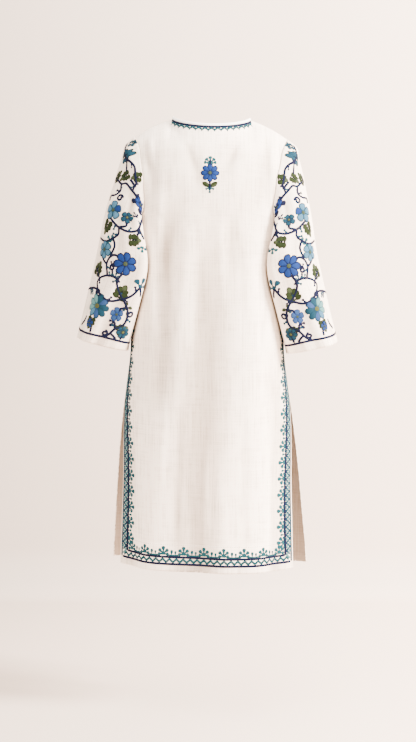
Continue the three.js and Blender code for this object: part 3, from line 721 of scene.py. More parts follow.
@dataclass(frozen=True)
class SleeveShape:
    """A sleeve. Its angle runs round it from its outer side, back first, and d down it in millimetres.

    Rows of rings hold d, the middle x, y and z, the half-sizes across, behind and in front, the tilt in
    degrees, how far the back turns in, and how much lower the back hangs. Rows of folds and creases
    hold the angles and distances of their ends, width, depth and fade.
    """

    rings: Array
    folds: Array
    creases: Array

    def armhole(self, share: Array) -> Array:
        """The loop where the sleeve starts: the panels' edges, moved out by the seam and half a wall."""
        share = share % 1.0
        back = share <= 0.5
        s = UNDERARM * (1.0 - (1.0 - np.where(back, share, 1.0 - share) * 2.0) ** 1.6)
        edges = []
        for panel in (BACK, FRONT):
            columns = np.array([0.98, 0.99, 1.0])[:, None] + 0 * s
            rows = np.clip(s, 1.0, LENGTH) + 0 * columns
            steps = np.stack([panel.smooth(columns, rows + k) for k in (-1.0, 0.0, 1.0)], axis=2)
            flat = steps.reshape(3, -1, 3, 3)
            out = unit(np.cross(flat[2, :, 1] - flat[0, :, 1], flat[1, :, 2] - flat[1, :, 0])) * panel.side
            out = panel.shared(out, columns[2] * 0.995, s)
            bulk = 1.2 * ease(s, UNDERARM - 60.0, UNDERARM)
            off = (1.6 * SEAM_GAP + CLOTH / 2 + bulk)[..., None]
            edges.append(panel.smooth(np.ones_like(s), s) + out * off)
        return np.where(back[..., None], edges[0], edges[1])

    def ring(self, k: int, share: Array) -> Array:
        """A ring's points: cosine across and sine front to back, each to the power 0.9, then tilted."""
        _, x, y, z, reach, deep, fore, tilt, wrap, drop = self.rings[k]
        a = share * 2.0 * np.pi
        across = reach * np.sign(np.cos(a)) * np.abs(np.cos(a)) ** 0.9
        back = np.sign(np.sin(a)) * np.abs(np.sin(a)) ** 0.9
        behind = back > 0
        turned = across * np.cos(np.radians(tilt)) - np.where(behind, wrap, 0.0) * np.sin(a) ** 2
        lift = across * np.sin(np.radians(tilt)) - drop * back
        return np.stack([x + turned, y + np.where(behind, deep, fore) * back, z + lift], -1)

    def smooth(self, share: Array, d: Array) -> Array:
        """The middle of the wall, a cubic down each column from the armhole through every ring."""
        knots = np.concatenate([[0.0], self.rings[:, 0]])
        step = np.diff(knots)
        column = share[:, 0]
        rings = [self.armhole(column)] + [self.ring(k, column) for k in range(len(self.rings))]
        points = np.stack(rings)
        chord = np.diff(points, axis=0) / step[:, None, None]
        head = 0.4 * np.maximum(0.0, np.cos(column * 2.0 * np.pi))
        first = chord[0] + np.stack([head, 0 * head, 0 * head], -1)
        weight = step[:, None, None]
        inner = (chord[:-1] * weight[1:] + chord[1:] * weight[:-1]) / (weight[:-1] + weight[1:])
        slope = np.concatenate([first[None], inner, chord[-1:]])
        k = np.clip(np.searchsorted(knots, d[0], side="right") - 1, 0, len(step) - 1)
        t = ((d[0] - knots[k]) / step[k])[:, None, None]
        size = step[k][:, None, None]
        curve = hermite(points[k], points[k + 1], slope[k] * size, slope[k + 1] * size, t)
        return curve.transpose(1, 0, 2)

    def clear(self, p: Array, d: Array) -> Array:
        """Moves points that lie within the body of the garment straight out from its middle line."""
        grown = ease(d, 0.0, 26.0)
        held = np.maximum(grown, ease(-p[..., 2], 190.0, 225.0))
        far = mix(2.5, 7.0, grown)
        blend = mix(0.1, 1.0, grown) * 0.03
        s = np.clip(-p[..., 2], 190.0, SLIT_TOP)
        back = p[..., 1] > 0
        sizes = [
            np.where(back, *(monotone(x.levels[:, 0], x.levels[:, k], s) for x in (BACK, FRONT)))
            for k in (3, 4)
        ]
        part = np.hypot(
            p[..., 0] / (sizes[0] + far), (np.abs(p[..., 1]) / (np.abs(sizes[1]) + far)) ** (1.0 / FLATNESS)
        )
        short = 1.0 / part - 1.0
        out = 1.0 + held * 0.5 * (short + np.sqrt(short**2 + blend**2))
        return p * np.stack([out, out, np.ones_like(out)], -1)

    def middle(self, share: Array, d: Array) -> tuple[Array, Array]:
        """The middle of the left sleeve's wall, clear of the body, and the painted light and shade of its
        colour.
        """
        angle = share * 360.0
        p = self.smooth(share, d)
        heights = []
        for rows in (self.folds, self.creases):
            # A fold's width is in millimetres, and 75 mm is about the sleeve's radius.
            wide = rows.copy()
            wide[:, 4] /= np.radians(75.0)
            heights.append(fold_height(wide, d, angle, SLEEVE_LENGTH))
        height, small = heights[0], (heights[1] + ripple(angle * MM_PER_DEGREE, d)) * ease(d, 0.0, 30.0)
        # Painted shade: the cloth's colour darkens where the sleeve faces the body, a dark line along its
        # inner edge.
        shade_beside_body = 1.0 - ease(np.abs(angle - 180.0), 26.0, 42.0)
        tone = painted_fold_shade(height, small) * (1.0 - 0.95 * shade_beside_body)
        return self.clear(p + normals(p, -1.0, loop=True) * (height + small)[..., None], d), tone


SLEEVE = SleeveShape(
    rings=np.array([
        (140, 188, 6, -238, 72, 90, 112, 50, 20, 4), (290, 200, 14, -346, 67, 86, 100, 19, 30, 8),
        (395, 221, 14, -442, 68, 76, 84, 14.5, 14, 8), (495, 246, 10, -534, 66, 68, 68, 12.7, 0, 8),
    ], float),
    folds=np.array([
        (62, 30, 84, 240, 17, -5, 80), (30, 60, 44, 330, 20, 5, 100), (96, 190, 78, 495, 20, -5, 130),
        (48, 300, 56, 495, 22, 4, 110), (300, 30, 282, 260, 18, -5, 80), (330, 120, 318, 400, 20, 5, 110),
        (262, 240, 276, 495, 20, -5, 120),
    ], float),
    creases=np.array([
        (84, 20, 70, 150, 7, -1.5, 50), (50, 120, 66, 300, 8, -1.4, 70), (18, 40, 30, 210, 8, 1.2, 70),
        (100, 90, 92, 260, 8, 1.4, 70), (70, 300, 66, 495, 9, 1.4, 80), (30, 330, 34, 495, 8, -1.3, 70),
        (112, 320, 104, 495, 8, -1.4, 70), (280, 20, 292, 150, 7, -1.5, 50),
        (308, 130, 296, 300, 8, -1.4, 70), (344, 60, 336, 240, 8, 1.2, 70),
        (290, 300, 296, 495, 9, 1.4, 80), (326, 320, 322, 495, 8, -1.3, 70),
    ], float),
)


# ---- Cloth pieces ----


@dataclass
class ClothPiece:
    """A cut piece as a thin shell on its chart, with a thicker turned hem."""

    name: str
    nodes: tuple[str, ...]
    chart: Chart
    flat: tuple[float, float]
    area: float

    def build(self, finish: bpy.types.Material, sewn_on: list[bpy.types.Object]) -> bpy.types.Object:
        """Makes the shell: the outer face, an inner face one wall behind it, and the rims between.

        Args:
            finish: The cloth's material.
            sewn_on: The pieces that lie on it; not used.

        Returns:
            The object.
        """
        chart, loop = self.chart, bool(self.chart.period)
        columns = slice(0, -1) if loop else slice(None)
        turn = chart.q[-1] - HEM_DEPTH
        wall = CLOTH + TURNED_HEM * ease(chart.q, turn, turn + 1.5)
        outer, inner = chart.points, chart.points - chart.out * wall[None, :, None]
        weave = np.stack(np.meshgrid(chart.p * MM_PER_DEGREE, chart.q, indexing="ij"), -1)
        if not loop:
            weave[..., 0] = outer[..., 0]
        flip = chart.sign < 0
        # Painted shade: where the painted tone is darker it is also a little warmer, and the inside is
        # painted the dimmest.
        tone = chart.tone[columns, :, None] ** SHADE_WARMTH
        maker = MeshBuilder()
        maker.grid(outer[columns], weave, tone, flip, loop)
        maker.grid(inner[columns], weave, INSIDE_PAINTED_SHADE, not flip, loop)
        down, over = np.array([0.0, CLOTH]), np.array([CLOTH, 0.0])
        rims = [((columns, 0), np.s_[:, 0], down, not flip), ((columns, -1), np.s_[:, -1], down, flip)]
        if not loop:
            rims += [((0,), (0,), over, flip), ((-1,), (-1,), over, not flip)]
        for cut, way, step, around in rims:
            edge, strip = ((outer[cut], inner[cut]), (weave[way], weave[way] + step))
            maker.grid(np.stack(edge, axis=1), np.stack(strip, axis=1), np.ones(3), around, loop)
        piece = maker.build(self.name, finish)
        weld(piece)
        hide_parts(*self.nodes)
        return piece


def weld(piece: bpy.types.Object) -> None:
    """Joins a mesh's points that lie within a hundredth of a millimetre of each other."""
    mesh = bmesh.new()
    mesh.from_mesh(piece.data)
    bmesh.ops.remove_doubles(mesh, verts=mesh.verts, dist=1e-5)
    mesh.to_mesh(piece.data)
    mesh.free()


def panel_chart(panel: PanelShape) -> Chart:
    """The chart of a hanging panel, finer where its neckline and its edges curve."""
    t = np.linspace(-1.0, 1.0, 151)
    u_line = t + 0.035 * np.sin(2.0 * np.pi * t)
    s_line = np.concatenate([
        np.linspace(0.0, 60.0, 25)[:-1], np.linspace(60.0, 1002.0, 178), FACING_TOP + np.arange(-1.0, 2.0),
        np.linspace(1009.0, 1045.0, 8), [1045.75, 1046.5], np.linspace(1049.0, LENGTH, 6),
    ])
    u, s = np.meshgrid(u_line, s_line, indexing="ij")
    points, out, tone = panel.straight(u, s)
    hung = hang(points)
    return Chart(u_line, s_line, hung, unit(hang(points + out) - hung), tone, panel.side)


def sleeve_chart(side: float) -> Chart:
    """The chart of a hanging sleeve, its angle in degrees. side is 1 for the left one, -1 for the right."""
    share_line = np.linspace(0.0, 1.0, 133)
    body, hem = np.linspace(0.0, 471.0, 111), np.linspace(476.0, SLEEVE_LENGTH, 5)
    d_line = np.concatenate([body, [471.75, 472.5], hem])
    share, d = np.meshgrid(share_line, d_line, indexing="ij")
    middle, tone = SLEEVE.middle(share, d)
    face = middle + normals(middle, -1.0, loop=True) * (CLOTH / 2)
    hung = hang(face * np.array([side, 1.0, 1.0]))
    # The left sleeve hangs in the dimmer half of the light.
    tone = tone * (0.94 - 0.06 * side)
    return Chart(share_line * 360.0, d_line, hung, normals(hung, -side, loop=True), tone, -side, 360.0)


def contact_shadow(body: Chart, sleeve: Chart, side: float) -> None:
    """Darkens the strip of the back's cloth that a sleeve lies against, from the waist to the slit.

    With e the x of the sleeve's inner edge at a point's height, the strip runs from 8 mm short of e to
    20 mm past it.

    Args:
        body: The back panel's chart, whose tone is changed.
        sleeve: The sleeve's chart.
        side: 1 for the left sleeve, -1 for the right one.
    """
    behind = sleeve.points[: len(sleeve.p) // 2]
    inner = (side * behind[..., 0]).argmin(0)
    rows = np.arange(len(sleeve.q))
    edge, level = side * behind[inner, rows, 0], behind[inner, rows, 2]
    rise = np.argsort(level)
    past = side * body.points[..., 0] - np.interp(body.points[..., 2], level[rise], edge[rise])
    shade = band(past, -8.0, -2.0, 8.0, 20.0) * band(-body.points[..., 2], 280.0, 380.0, 520.0, 570.0)
    body.tone[...] *= 1.0 - 0.9 * shade


# ---- Embroidery ----

Outline = tuple[Array, Array]
SPOKES = np.linspace(0.0, 2.0 * np.pi, 17)[:-1]
FEW_SPOKES = np.linspace(0.0, 2.0 * np.pi, 11)[:-1]
FAN = (-98.0, -48.0, 0.0, 48.0, 98.0)
VINE_STEP, VINE_WIDTH, BUD_GAP, BUD_SIZE, BUD_LEAN = 2.2, 6.0, 34.0, 14.0, 62.0
CURL_WIDTH, CUFF_HEIGHT = 5.8, 22.0
LEAF_SCALE, CURL_SCALE, PALMETTE_SCALE = 1.25, 1.5, 1.75
PLAN_MIRROR = 352.0
FOOT, RIM_FROM, OVER_PATCH = 0.1, 0.78, 0.75
STITCH = 4.0


def petal(length: float, width: float, spokes: Array = SPOKES) -> Outline:
    """A petal's outline from its root at (0, 0) up to its tip, widest past its middle.

    With t the angle from the tip, x = width / 2 sin t (0.84 + 0.5 cos t) and y = length (1 + cos t) / 2.
    """
    return width / 2 * np.sin(spokes) * (0.84 + 0.5 * np.cos(spokes)), length / 2 * (1 + np.cos(spokes))


def blade(length: float, width: float, spokes: Array = SPOKES) -> Outline:
    """A leaflet's outline with two points: x = width / 2 sin t |sin t|^0.4, y = length (1 + cos t) / 2."""
    x = width / 2 * np.sin(spokes) * np.abs(np.sin(spokes)) ** 0.4
    return x, length / 2 * (1 + np.cos(spokes))


class Style(Enum):
    """A flower's colours: the petals in turn, their edges and the heart."""

    ROYAL = ((Thread.ROYAL,), Thread.NAVY, Thread.OLIVE)
    MID = ((Thread.MID,), Thread.ROYAL, Thread.OLIVE)
    TEAL = ((Thread.TEAL,), Thread.NAVY, Thread.LIME)
    SKY = ((Thread.SKY,), Thread.TEAL, Thread.OLIVE)
    SKY_ROYAL = ((Thread.SKY, Thread.SKY, Thread.SKY, Thread.SKY, Thread.ROYAL), Thread.TEAL, Thread.OLIVE)
    HALF_TEAL = (
        (Thread.TEAL, Thread.PALE_TEAL, Thread.PALE_TEAL, Thread.PALE_TEAL, Thread.SKY, Thread.MID,
         Thread.TEAL, Thread.TEAL, Thread.MID),
        Thread.TEAL, Thread.LIME,
    )


class Spray(Enum):
    """A fan of drops: the share of its reach that a drop takes up, and how much shorter the sides are."""

    SPRIG = (0.56, 0.22)
    PALMETTE = (0.74, 0.27)


@dataclass(frozen=True)
class Spot:
    """Where a motif is sewn: the chart's parameters, and degrees that it is turned anticlockwise."""

    p: float
    q: float
    turn: float = 0.0

    def by(self, degrees: float) -> Spot:
        """The same spot, turned further."""
        return replace(self, turn=self.turn + degrees)


@dataclass
class Embroidery:
    """Raised thread on one cloth piece: satin patches and half-round lines that follow its chart."""

    chart: Chart
    maker: MeshBuilder = field(default_factory=MeshBuilder)

    def line(self, p: Array, q: Array, width: float, thread: Thread) -> None:
        """Sews a half-round line with rounded ends through the parameters given, dense enough to curve.

        Args:
            p: The first parameter along the line.
            q: The second one.
            width: The line's width in millimetres.
            thread: Its thread.
        """
        path = self.chart.place(p, q)
        out = unit(self.chart.read(self.chart.out, p, q))
        across = np.cross(out, unit(np.gradient(path, axis=0)))
        run = run_along(path)
        near = np.minimum(np.minimum(run, run[-1] - run) / (width / 2), 1.0)
        taper = np.sqrt(np.maximum(0.06, 1.0 - (1.0 - near) ** 2))[:, None]
        turn = np.linspace(0.0, np.pi, 5)
        wide, high = np.cos(turn) * width / 2 * taper, np.sin(turn) * (0.45 + 0.12 * width) * taper - 0.12
        points = path[:, None] + across[:, None] * wide[..., None] + out[:, None] * high[..., None]
        weave = np.stack(np.broadcast_arrays(run[:, None] * 0.6, turn * width), -1)
        self.maker.grid(points, weave, np.array(thread.value), flip=True)

    def stitches(self, p: Array, q: Array, width: float) -> None:
        """Sews a running line of even stitches, each with a gap a third of its length after it.

        Args:
            p: The first parameter along the line.
            q: The second one.
            width: The thread's width in millimetres.
        """
        run = run_along(self.chart.place(p, q))
        for start in np.arange(STITCH, run[-1] - 2 * STITCH, STITCH * 4.0 / 3.0):
            along = start + STITCH * np.linspace(0.0, 1.0, 4)
            self.line(np.interp(along, run, p), np.interp(along, run, q), width, Thread.SEWING)

    def vine(self, points: list[tuple[float, float]], buds: Thread | None) -> None:
        """Sews a flowing vine on a sleeve, with small drops on either side of it in turn.

        Args:
            points: The angles and distances down that it passes through.
            buds: The drops' thread, or None for a bare vine.
        """
        size = np.array([MM_PER_DEGREE, 1.0])
        curve = flow(np.array(points, float) * size, VINE_STEP)
        self.line(*(curve / size).T, VINE_WIDTH, Thread.NAVY)
        way, run = np.gradient(curve, axis=0), run_along(curve)
        for k, place in enumerate(np.arange(BUD_GAP * 0.6, run[-1] - 6.0, BUD_GAP) if buds else ()):
            here = int(np.searchsorted(run, place))
            heading = float(np.degrees(np.arctan2(-way[here, 0], -way[here, 1])))
            spot = Spot(*(curve[here] / size).tolist(), heading + (BUD_LEAN if k % 2 else -BUD_LEAN))
            self.spray(spot, BUD_SIZE, buds, (0.0,), Spray.SPRIG)

    def beside(self, spot: Spot, up: float) -> Spot:
        """The spot so many millimetres up from another, along its own turn."""
        p, q = self.chart.offset(spot.p, spot.q, *turned(np.zeros(1), np.array([up]), spot.turn))
        return replace(spot, p=float(p[0]), q=float(q[0]))

    def stroke(self, spot: Spot, local: Array, width: float, thread: Thread, lift: float = 0.0) -> None:
        """Sews a line given in millimetres about a spot, lifted where it crosses a patch."""
        chart = replace(self.chart, points=self.chart.points + self.chart.out * lift) if lift else self.chart
        p, q = chart.offset(spot.p, spot.q, *turned(*local.T, spot.turn))
        Embroidery(chart, self.maker).line(p, q, width, thread)

    def patch(
        self, spot: Spot, outline: Outline, core: Thread, rim: Thread, rise: float = 0.8, root: float = 0.0,
        split: Thread | None = None,
    ) -> None:
        """Sews a domed satin patch.

        Rings at shares r of the outline's way from its middle stand rise sqrt(1 - r^2) high, less a
        foot that lies in the cloth. Rings past RIM_FROM take the rim's colour, and the two middle rings
        are painted lighter, a highlight on the dome.

        Args:
            spot: The motif's middle.
            outline: The patch's outline in millimetres, from its root upwards.
            core: The thread of its inside.
            rim: The thread of its edge.
            rise: Its height.
            root: How far its root lies from the motif's middle.
            split: The thread of its left half, where that differs.
        """
        spokes = len(outline[0])
        rings = np.array([0.0, 0.42, 0.74, 0.8, 0.93, 1.0] if spokes > 12 else [0.0, 0.6, 0.85, 1.0])[:, None]
        middle = outline[1].mean()
        x, y = turned(outline[0] * rings, middle + (outline[1] - middle) * rings + root, spot.turn)
        height = rise * np.sqrt(1.0 - rings**2) - FOOT + 0 * x
        points = self.chart.place(*self.chart.offset(spot.p, spot.q, x, y), height)
        edge = (rings > RIM_FROM)[..., None]
        tints = np.where(edge, rim.value, core.value) + np.zeros((len(rings), spokes, 3))
        # Painted highlight: the two middle rings are lighter, the sheen on the dome's top.
        tints[:2] = mix(tints[:2], np.clip(tints[:2] * 1.5, 0, 1), 0.45)
        if split is not None:
            tints = np.where((outline[0] < 0)[None, :, None] & ~edge, split.value, tints)
        weave = np.stack([outline[0] * rings, outline[1] * rings], -1)
        j = np.arange(spokes)
        after = (j + 1) % spokes
        fan = np.stack([np.zeros(spokes, int), 1 + j, 1 + after], -1)
        row = 1 + spokes * np.arange(len(rings) - 2)[:, None]
        quads = np.stack([row + j, row + spokes + j, row + spokes + after, row + after], -1).reshape(-1, 4)
        if self.chart.sign * turn_sign(outline) < 0:
            fan, quads = fan[:, ::-1], quads[:, ::-1]
        # The first ring is one point.
        flat = [np.concatenate([a[0, :1], a[1:].reshape(-1, a.shape[-1])]) for a in (points, weave, tints)]
        self.maker.add(*flat, fan, quads)

    def disc(self, spot: Spot, radius: float, core: Thread, rim: Thread, rise: float, spokes: Array) -> None:
        """Sews a round patch about a spot."""
        outline = radius * np.sin(spokes), radius * (1 + np.cos(spokes))
        self.patch(spot, outline, core, rim, rise, root=-radius)

    def flower(self, spot: Spot, radius: float, petals: int, style: Style) -> None:
        """Sews a flower of even petals round a raised heart with a dark eye.

        Args:
            spot: Its middle.
            radius: Its radius in millimetres. A flower over 12 mm has a vein up each petal.
            petals: How many petals it has.
            style: Its colours.
        """
        threads, edge, heart = style.value
        gap = radius * 0.05
        shape = petal(radius - gap, 2.0 * radius * np.sin(np.pi / petals) * 0.79)
        vein = np.stack([np.zeros(5), np.linspace(gap + 1.0, radius * 0.62, 5)], -1)
        for k in range(petals):
            at = spot.by(360.0 * k / petals)
            self.patch(at, shape, threads[k % len(threads)], edge, rise=0.9 + 0.02 * radius, root=gap)
            if radius > 12:
                self.stroke(at, vein, width=1.4, thread=edge, lift=OVER_PATCH)
        middle = replace(spot, turn=0.0)
        self.disc(middle, radius * 0.23, heart, edge, rise=1.6, spokes=SPOKES)
        self.disc(middle, radius * 0.07, Thread.TEAL, Thread.TEAL, rise=1.9, spokes=FEW_SPOKES)

    def leaf(self, spot: Spot, size: float, lobes: int = 7, cool: bool = False) -> None:
        """Sews a lobed leaf: pairs of leaflets up a midrib, the lowest spread widest, and one at its tip.

        Args:
            spot: Its middle.
            size: Its length in millimetres.
            lobes: How many leaflets it has, an odd number.
            cool: Whether its leaflets are teal.
        """
        pairs = lobes // 2
        for k in range(lobes):
            pair, side = divmod(k, 2)
            tip = pair == pairs
            spread = 0.0 if tip else (78.0 - 15.0 * pair) * (1.0 - 2.0 * side)
            length = size * (0.5 if tip else 0.5 - 0.05 * abs(pair - 1))
            base = self.beside(spot, size * (-0.34 + 0.5 * min(pair, pairs - 0.5) / pairs))
            core = Thread.TEAL if cool else Thread.OLIVE if tip else Thread.LEAF
            self.patch(base.by(spread), blade(length, length * 0.74), core, Thread.DEEP_GREEN, rise=0.9)
        rib = np.stack([np.zeros(7), np.linspace(-size * 0.5, size * 0.3, 7)], -1)
        self.stroke(spot, rib, width=0.9, thread=Thread.NAVY, lift=OVER_PATCH)

    def bud(self, spot: Spot, size: float, thread: Thread) -> None:
        """Sews a single drop, its root at the spot."""
        self.patch(spot, petal(size, size * 0.62, FEW_SPOKES), thread, thread, rise=0.75)

    def spray(self, spot: Spot, size: float, thread: Thread, fan: tuple[float, ...], kind: Spray) -> None:
        """Sews drops on tapered stems that fan from a spot.

        Args:
            spot: The root of the fan.
            size: The reach of a drop that points straight on, in millimetres.
            thread: Its thread.
            fan: The drops' angles in degrees.
            kind: Its form.
        """
        share, fall = kind.value
        for angle in fan:
            reach = size * (1.0 - fall * abs(angle) / 100.0)
            drop, stem = petal(reach * share, size * 0.54, FEW_SPOKES), reach * (1.1 - share) + 3.0
            self.patch(spot.by(angle), drop, thread, thread, rise=0.75, root=reach * (1.0 - share))
            self.patch(spot.by(angle), blade(stem, 7.5, FEW_SPOKES), thread, thread, rise=0.6, root=-2.0)

    def curl(self, spot: Spot, radius: float, way: float, thread: Thread) -> None:
        """Sews a curl: a spiral whose radius falls to a fifth over one and a quarter turns."""
        t = np.linspace(0.0, 1.0, 24)
        angle = way * t * 2.5 * np.pi
        local = np.stack([np.cos(angle), np.sin(angle)], -1) * (radius * (1.0 - 0.8 * t))[:, None]
        self.stroke(spot, local, CURL_WIDTH, thread)

    def build(self, name: str, finish: bpy.types.Material) -> bpy.types.Object:
        """Makes the object of all that was sewn."""
        piece = self.maker.build(name, finish)
        return piece


def turned(x: Array, y: Array, degrees: float) -> tuple[Array, Array]:
    """Turns (x, y) anticlockwise about (0, 0)."""
    c, s = np.cos(np.radians(degrees)), np.sin(np.radians(degrees))
    return x * c - y * s, x * s + y * c


def turn_sign(outline: Outline) -> float:
    """1 where an outline runs clockwise as its points go, else -1, from its signed area."""
    x, y = outline
    return float(np.sign((y * np.roll(x, -1) - x * np.roll(y, -1)).sum()))


class Edge(Enum):
    """The edges of a panel that carry a border, each with the turn that points inward from it."""

    HEM = 0.0
    LEFT = 90.0
    RIGHT = -90.0
    NECK = 180.0


@dataclass(frozen=True)
class Border:
    """Embroidery along one edge of a panel. t is millimetres along it, and v millimetres in from it."""

    sewing: Embroidery
    edge: Edge

    def _lengths(self) -> tuple[Array, Array]:
        """The u of each column along the hem or neckline, and its distance along it."""
        chart = self.sewing.chart
        keep = np.abs(chart.p) <= (1.0 if self.edge is Edge.HEM else 0.5)
        row = -1 if self.edge is Edge.HEM else int(np.searchsorted(chart.q, 6.0))
        return chart.p[keep], run_along(chart.points[keep, row])

    def total(self) -> float:
        """The length of the hem or the neckline."""
        return float(self._lengths()[1][-1])

    def at(self, t: Array, v: Array) -> tuple[Array, Array]:
        """The chart's parameters at t along and v in.

        Args:
            t: Millimetres along: from the right edge along a hem or neck, and s down a side.
            v: Millimetres in from the edge.

        Returns:
            p and q.
        """
        t, v = np.broadcast_arrays(np.asarray(t, float), np.asarray(v, float))
        if self.edge in (Edge.HEM, Edge.NECK):
            columns, gone = self._lengths()
            return np.interp(t, gone, columns), (LENGTH - v if self.edge is Edge.HEM else v)
        side = 1.0 if self.edge is Edge.LEFT else -1.0
        chart = self.sewing.chart
        column = -1 if side > 0 else 0
        near = int(np.argmin(np.abs(chart.p - side * 0.9)))
        wide = np.linalg.norm(chart.points[column] - chart.points[near], axis=-1)
        per = wide / abs(chart.p[column] - chart.p[near])
        return side * (1.0 - v / np.interp(t, chart.q, per)), t

    def spots(self, places: Array, v: float) -> list[Spot]:
        """Spots at places along the edge, turned inward."""
        p, q = self.at(places, v)
        return [Spot(one_p, one_q, self.edge.value) for one_p, one_q in zip(p.tolist(), q.tolist())]

    def line(self, t0: float, t1: float, v: float, width: float, thread: Thread) -> None:
        """Sews a straight line."""
        t = np.linspace(t0, t1, max(3, int(abs(t1 - t0) / 3.0)))
        self.sewing.line(*self.at(t, v), width, thread)

    def zigzag(
        self, t0: float, t1: float, v: float, tall: float, period: float, width: float, thread: Thread
    ) -> None:
        """Sews a triangle wave of the height, period and width given, its middle v in from the edge."""
        count = max(1, round((t1 - t0) / period))
        t = np.linspace(t0, t1, count * 8 + 1)
        phase = (t - t0) / (t1 - t0) * count
        wave = 4.0 * np.abs(phase - np.floor(phase + 0.5)) - 1.0
        self.sewing.line(*self.at(t, v + wave * tall / 2), width, thread)

    def palmettes(self, places: Array, v: float, size: float) -> None:
        """Sews a palmette at each place along the edge, pointing inward."""
        for spot in self.spots(places, v):
            self.sewing.spray(spot, size, Thread.SEA, FAN, Spray.PALMETTE)

    def buds(self, places: Array, v: float, size: float) -> None:
        """Sews a drop at each place along the edge, pointing inward."""
        for spot in self.spots(places, v):
            self.sewing.bud(spot, size, Thread.SEA)

    def swags(self, places: Array, low: float, high: float) -> None:
        """Sews hanging curves between neighbouring places: v = high - (high - low) (4h(1 - h))^0.7."""
        h = np.linspace(0.0, 1.0, 20)
        v = high - (high - low) * (4.0 * h * (1.0 - h)) ** 0.7
        for t0, t1 in zip(places[:-1], places[1:]):
            self.sewing.line(*self.at(mix(t0 + 2.0, t1 - 2.0, h), v), width=4.0, thread=Thread.SEA)


def hem_border(sewing: Embroidery) -> None:
    """Sews the hem's border: two lines with a zigzag between, palmettes above on swags, and buds."""
    border = Border(sewing, Edge.HEM)
    total = border.total()
    border.line(8.0, total - 8.0, v=18.0, width=6.0, thread=Thread.NAVY)
    border.line(25.0, total - 25.0, v=35.0, width=5.8, thread=Thread.NAVY)
    border.zigzag(14.0, total - 14.0, v=26.5, tall=8.0, period=16.0, width=5.8, thread=Thread.SEA)
    corner, pitch = 42.0, 48.0
    places = np.linspace(corner, total - corner, round((total - 2.0 * corner) / pitch) + 1)
    border.palmettes(places, v=43.0, size=18.5)
    border.swags(places, low=39.0, high=44.0)
    halves = (places[:-1] + places[1:]) / 2
    border.buds(halves - 4.5, v=40.0, size=10.0)
    border.buds(halves + 4.5, v=40.0, size=12.5)


def side_border(sewing: Embroidery, edge: Edge) -> None:
    """Sews a slit's border, from the hem's corner up past the slit: two lines, a lattice and palmettes."""
    border = Border(sewing, edge)
    top, low = 320.0, LENGTH - 18.0
    middle, tall, period, pitch = 15.5, 12.0, 19.0, 38.5
    border.zigzag(top, low - 8.0, middle, tall, period, width=5.6, thread=Thread.PALE_TEAL)
    border.zigzag(top + period / 2, low - 17.5, middle, tall, period, width=6.2, thread=Thread.TEAL)
    border.line(top, low, v=6.0, width=6.2, thread=Thread.TEAL)
    border.line(top, low - 16.0, v=25.0, width=7.4, thread=Thread.NAVY)
    places = np.arange(LENGTH - 66.0, top + 10.0, -pitch)
    border.palmettes(places, v=28.5, size=20.5)
    border.buds(places[:-1] - 19.0, v=27.5, size=11.0)


def neck_border(sewing: Embroidery) -> None:
    """Sews the neck's border below its binding: a line, scallops that hang from it, and a dot in each."""
    border = Border(sewing, Edge.NECK)
    total = border.total()
    border.line(2.0, total - 2.0, v=3.2, width=6.4, thread=Thread.NAVY)
    count = round(total / 15.0)
    t = np.linspace(1.0, total - 1.0, count * 12 + 1)
    bow = np.abs(np.sin((t - 1.0) / (total - 2.0) * np.pi * count))
    sewing.line(*border.at(t, 5.6 + 5.6 * bow**1.2), width=5.6, thread=Thread.SEA)
    border.buds((np.arange(count) + 0.5) / count * (total - 2.0) + 1.0, v=10.5, size=6.5)


def back_sprig(sewing: Embroidery) -> None:
    """Sews the sprig between the shoulder blades: a flower on a stem, with buds above and below."""
    spot = Spot(0.0, 124.0)
    stem = np.stack([np.zeros(14), np.linspace(36.0, -44.0, 14)], -1)
    sewing.stroke(spot, stem, width=5.0, thread=Thread.NAVY)
    sewing.spray(sewing.beside(spot, 22.0), 18.5, Thread.SEA, (-76.0, -38.0, 0.0, 38.0, 76.0), Spray.SPRIG)
    below = sewing.beside(spot, -36.0).by(180.0)
    sewing.spray(below, 13.0, Thread.SEA, (-70.0, 0.0, 70.0), Spray.SPRIG)
    for turn in (58.0, -58.0):
        leaflet = sewing.beside(spot, -34.0).by(turn)
        colours = (Thread.LEAF, Thread.DEEP_GREEN)
        sewing.patch(leaflet, blade(20.0, 12.0), *colours, rise=0.9, root=1.0, split=Thread.OLIVE)
    sewing.flower(spot, radius=22.5, petals=8, style=Style.ROYAL)


# ---- The sleeves' climbing flowers ----


@dataclass(frozen=True)
class Bloom:
    """A flower on a sleeve: its angle, distance down, radius, petals, turn and colours."""

    angle: float
    down: float
    radius: float
    petals: int
    turn: float
    style: Style


@dataclass(frozen=True)
class Leaflet:
    """A lobed leaf on a sleeve: its angle, distance down, size, turn, lobes, and whether it is teal."""

    angle: float
    down: float
    size: float
    turn: float
    lobes: int = 7
    cool: bool = False


@dataclass(frozen=True)
class Twist:
    """A small curl or sprig on a sleeve: its angle, distance down, size, turn and way round."""

    angle: float
    down: float
    size: float
    turn: float
    way: float = 1.0


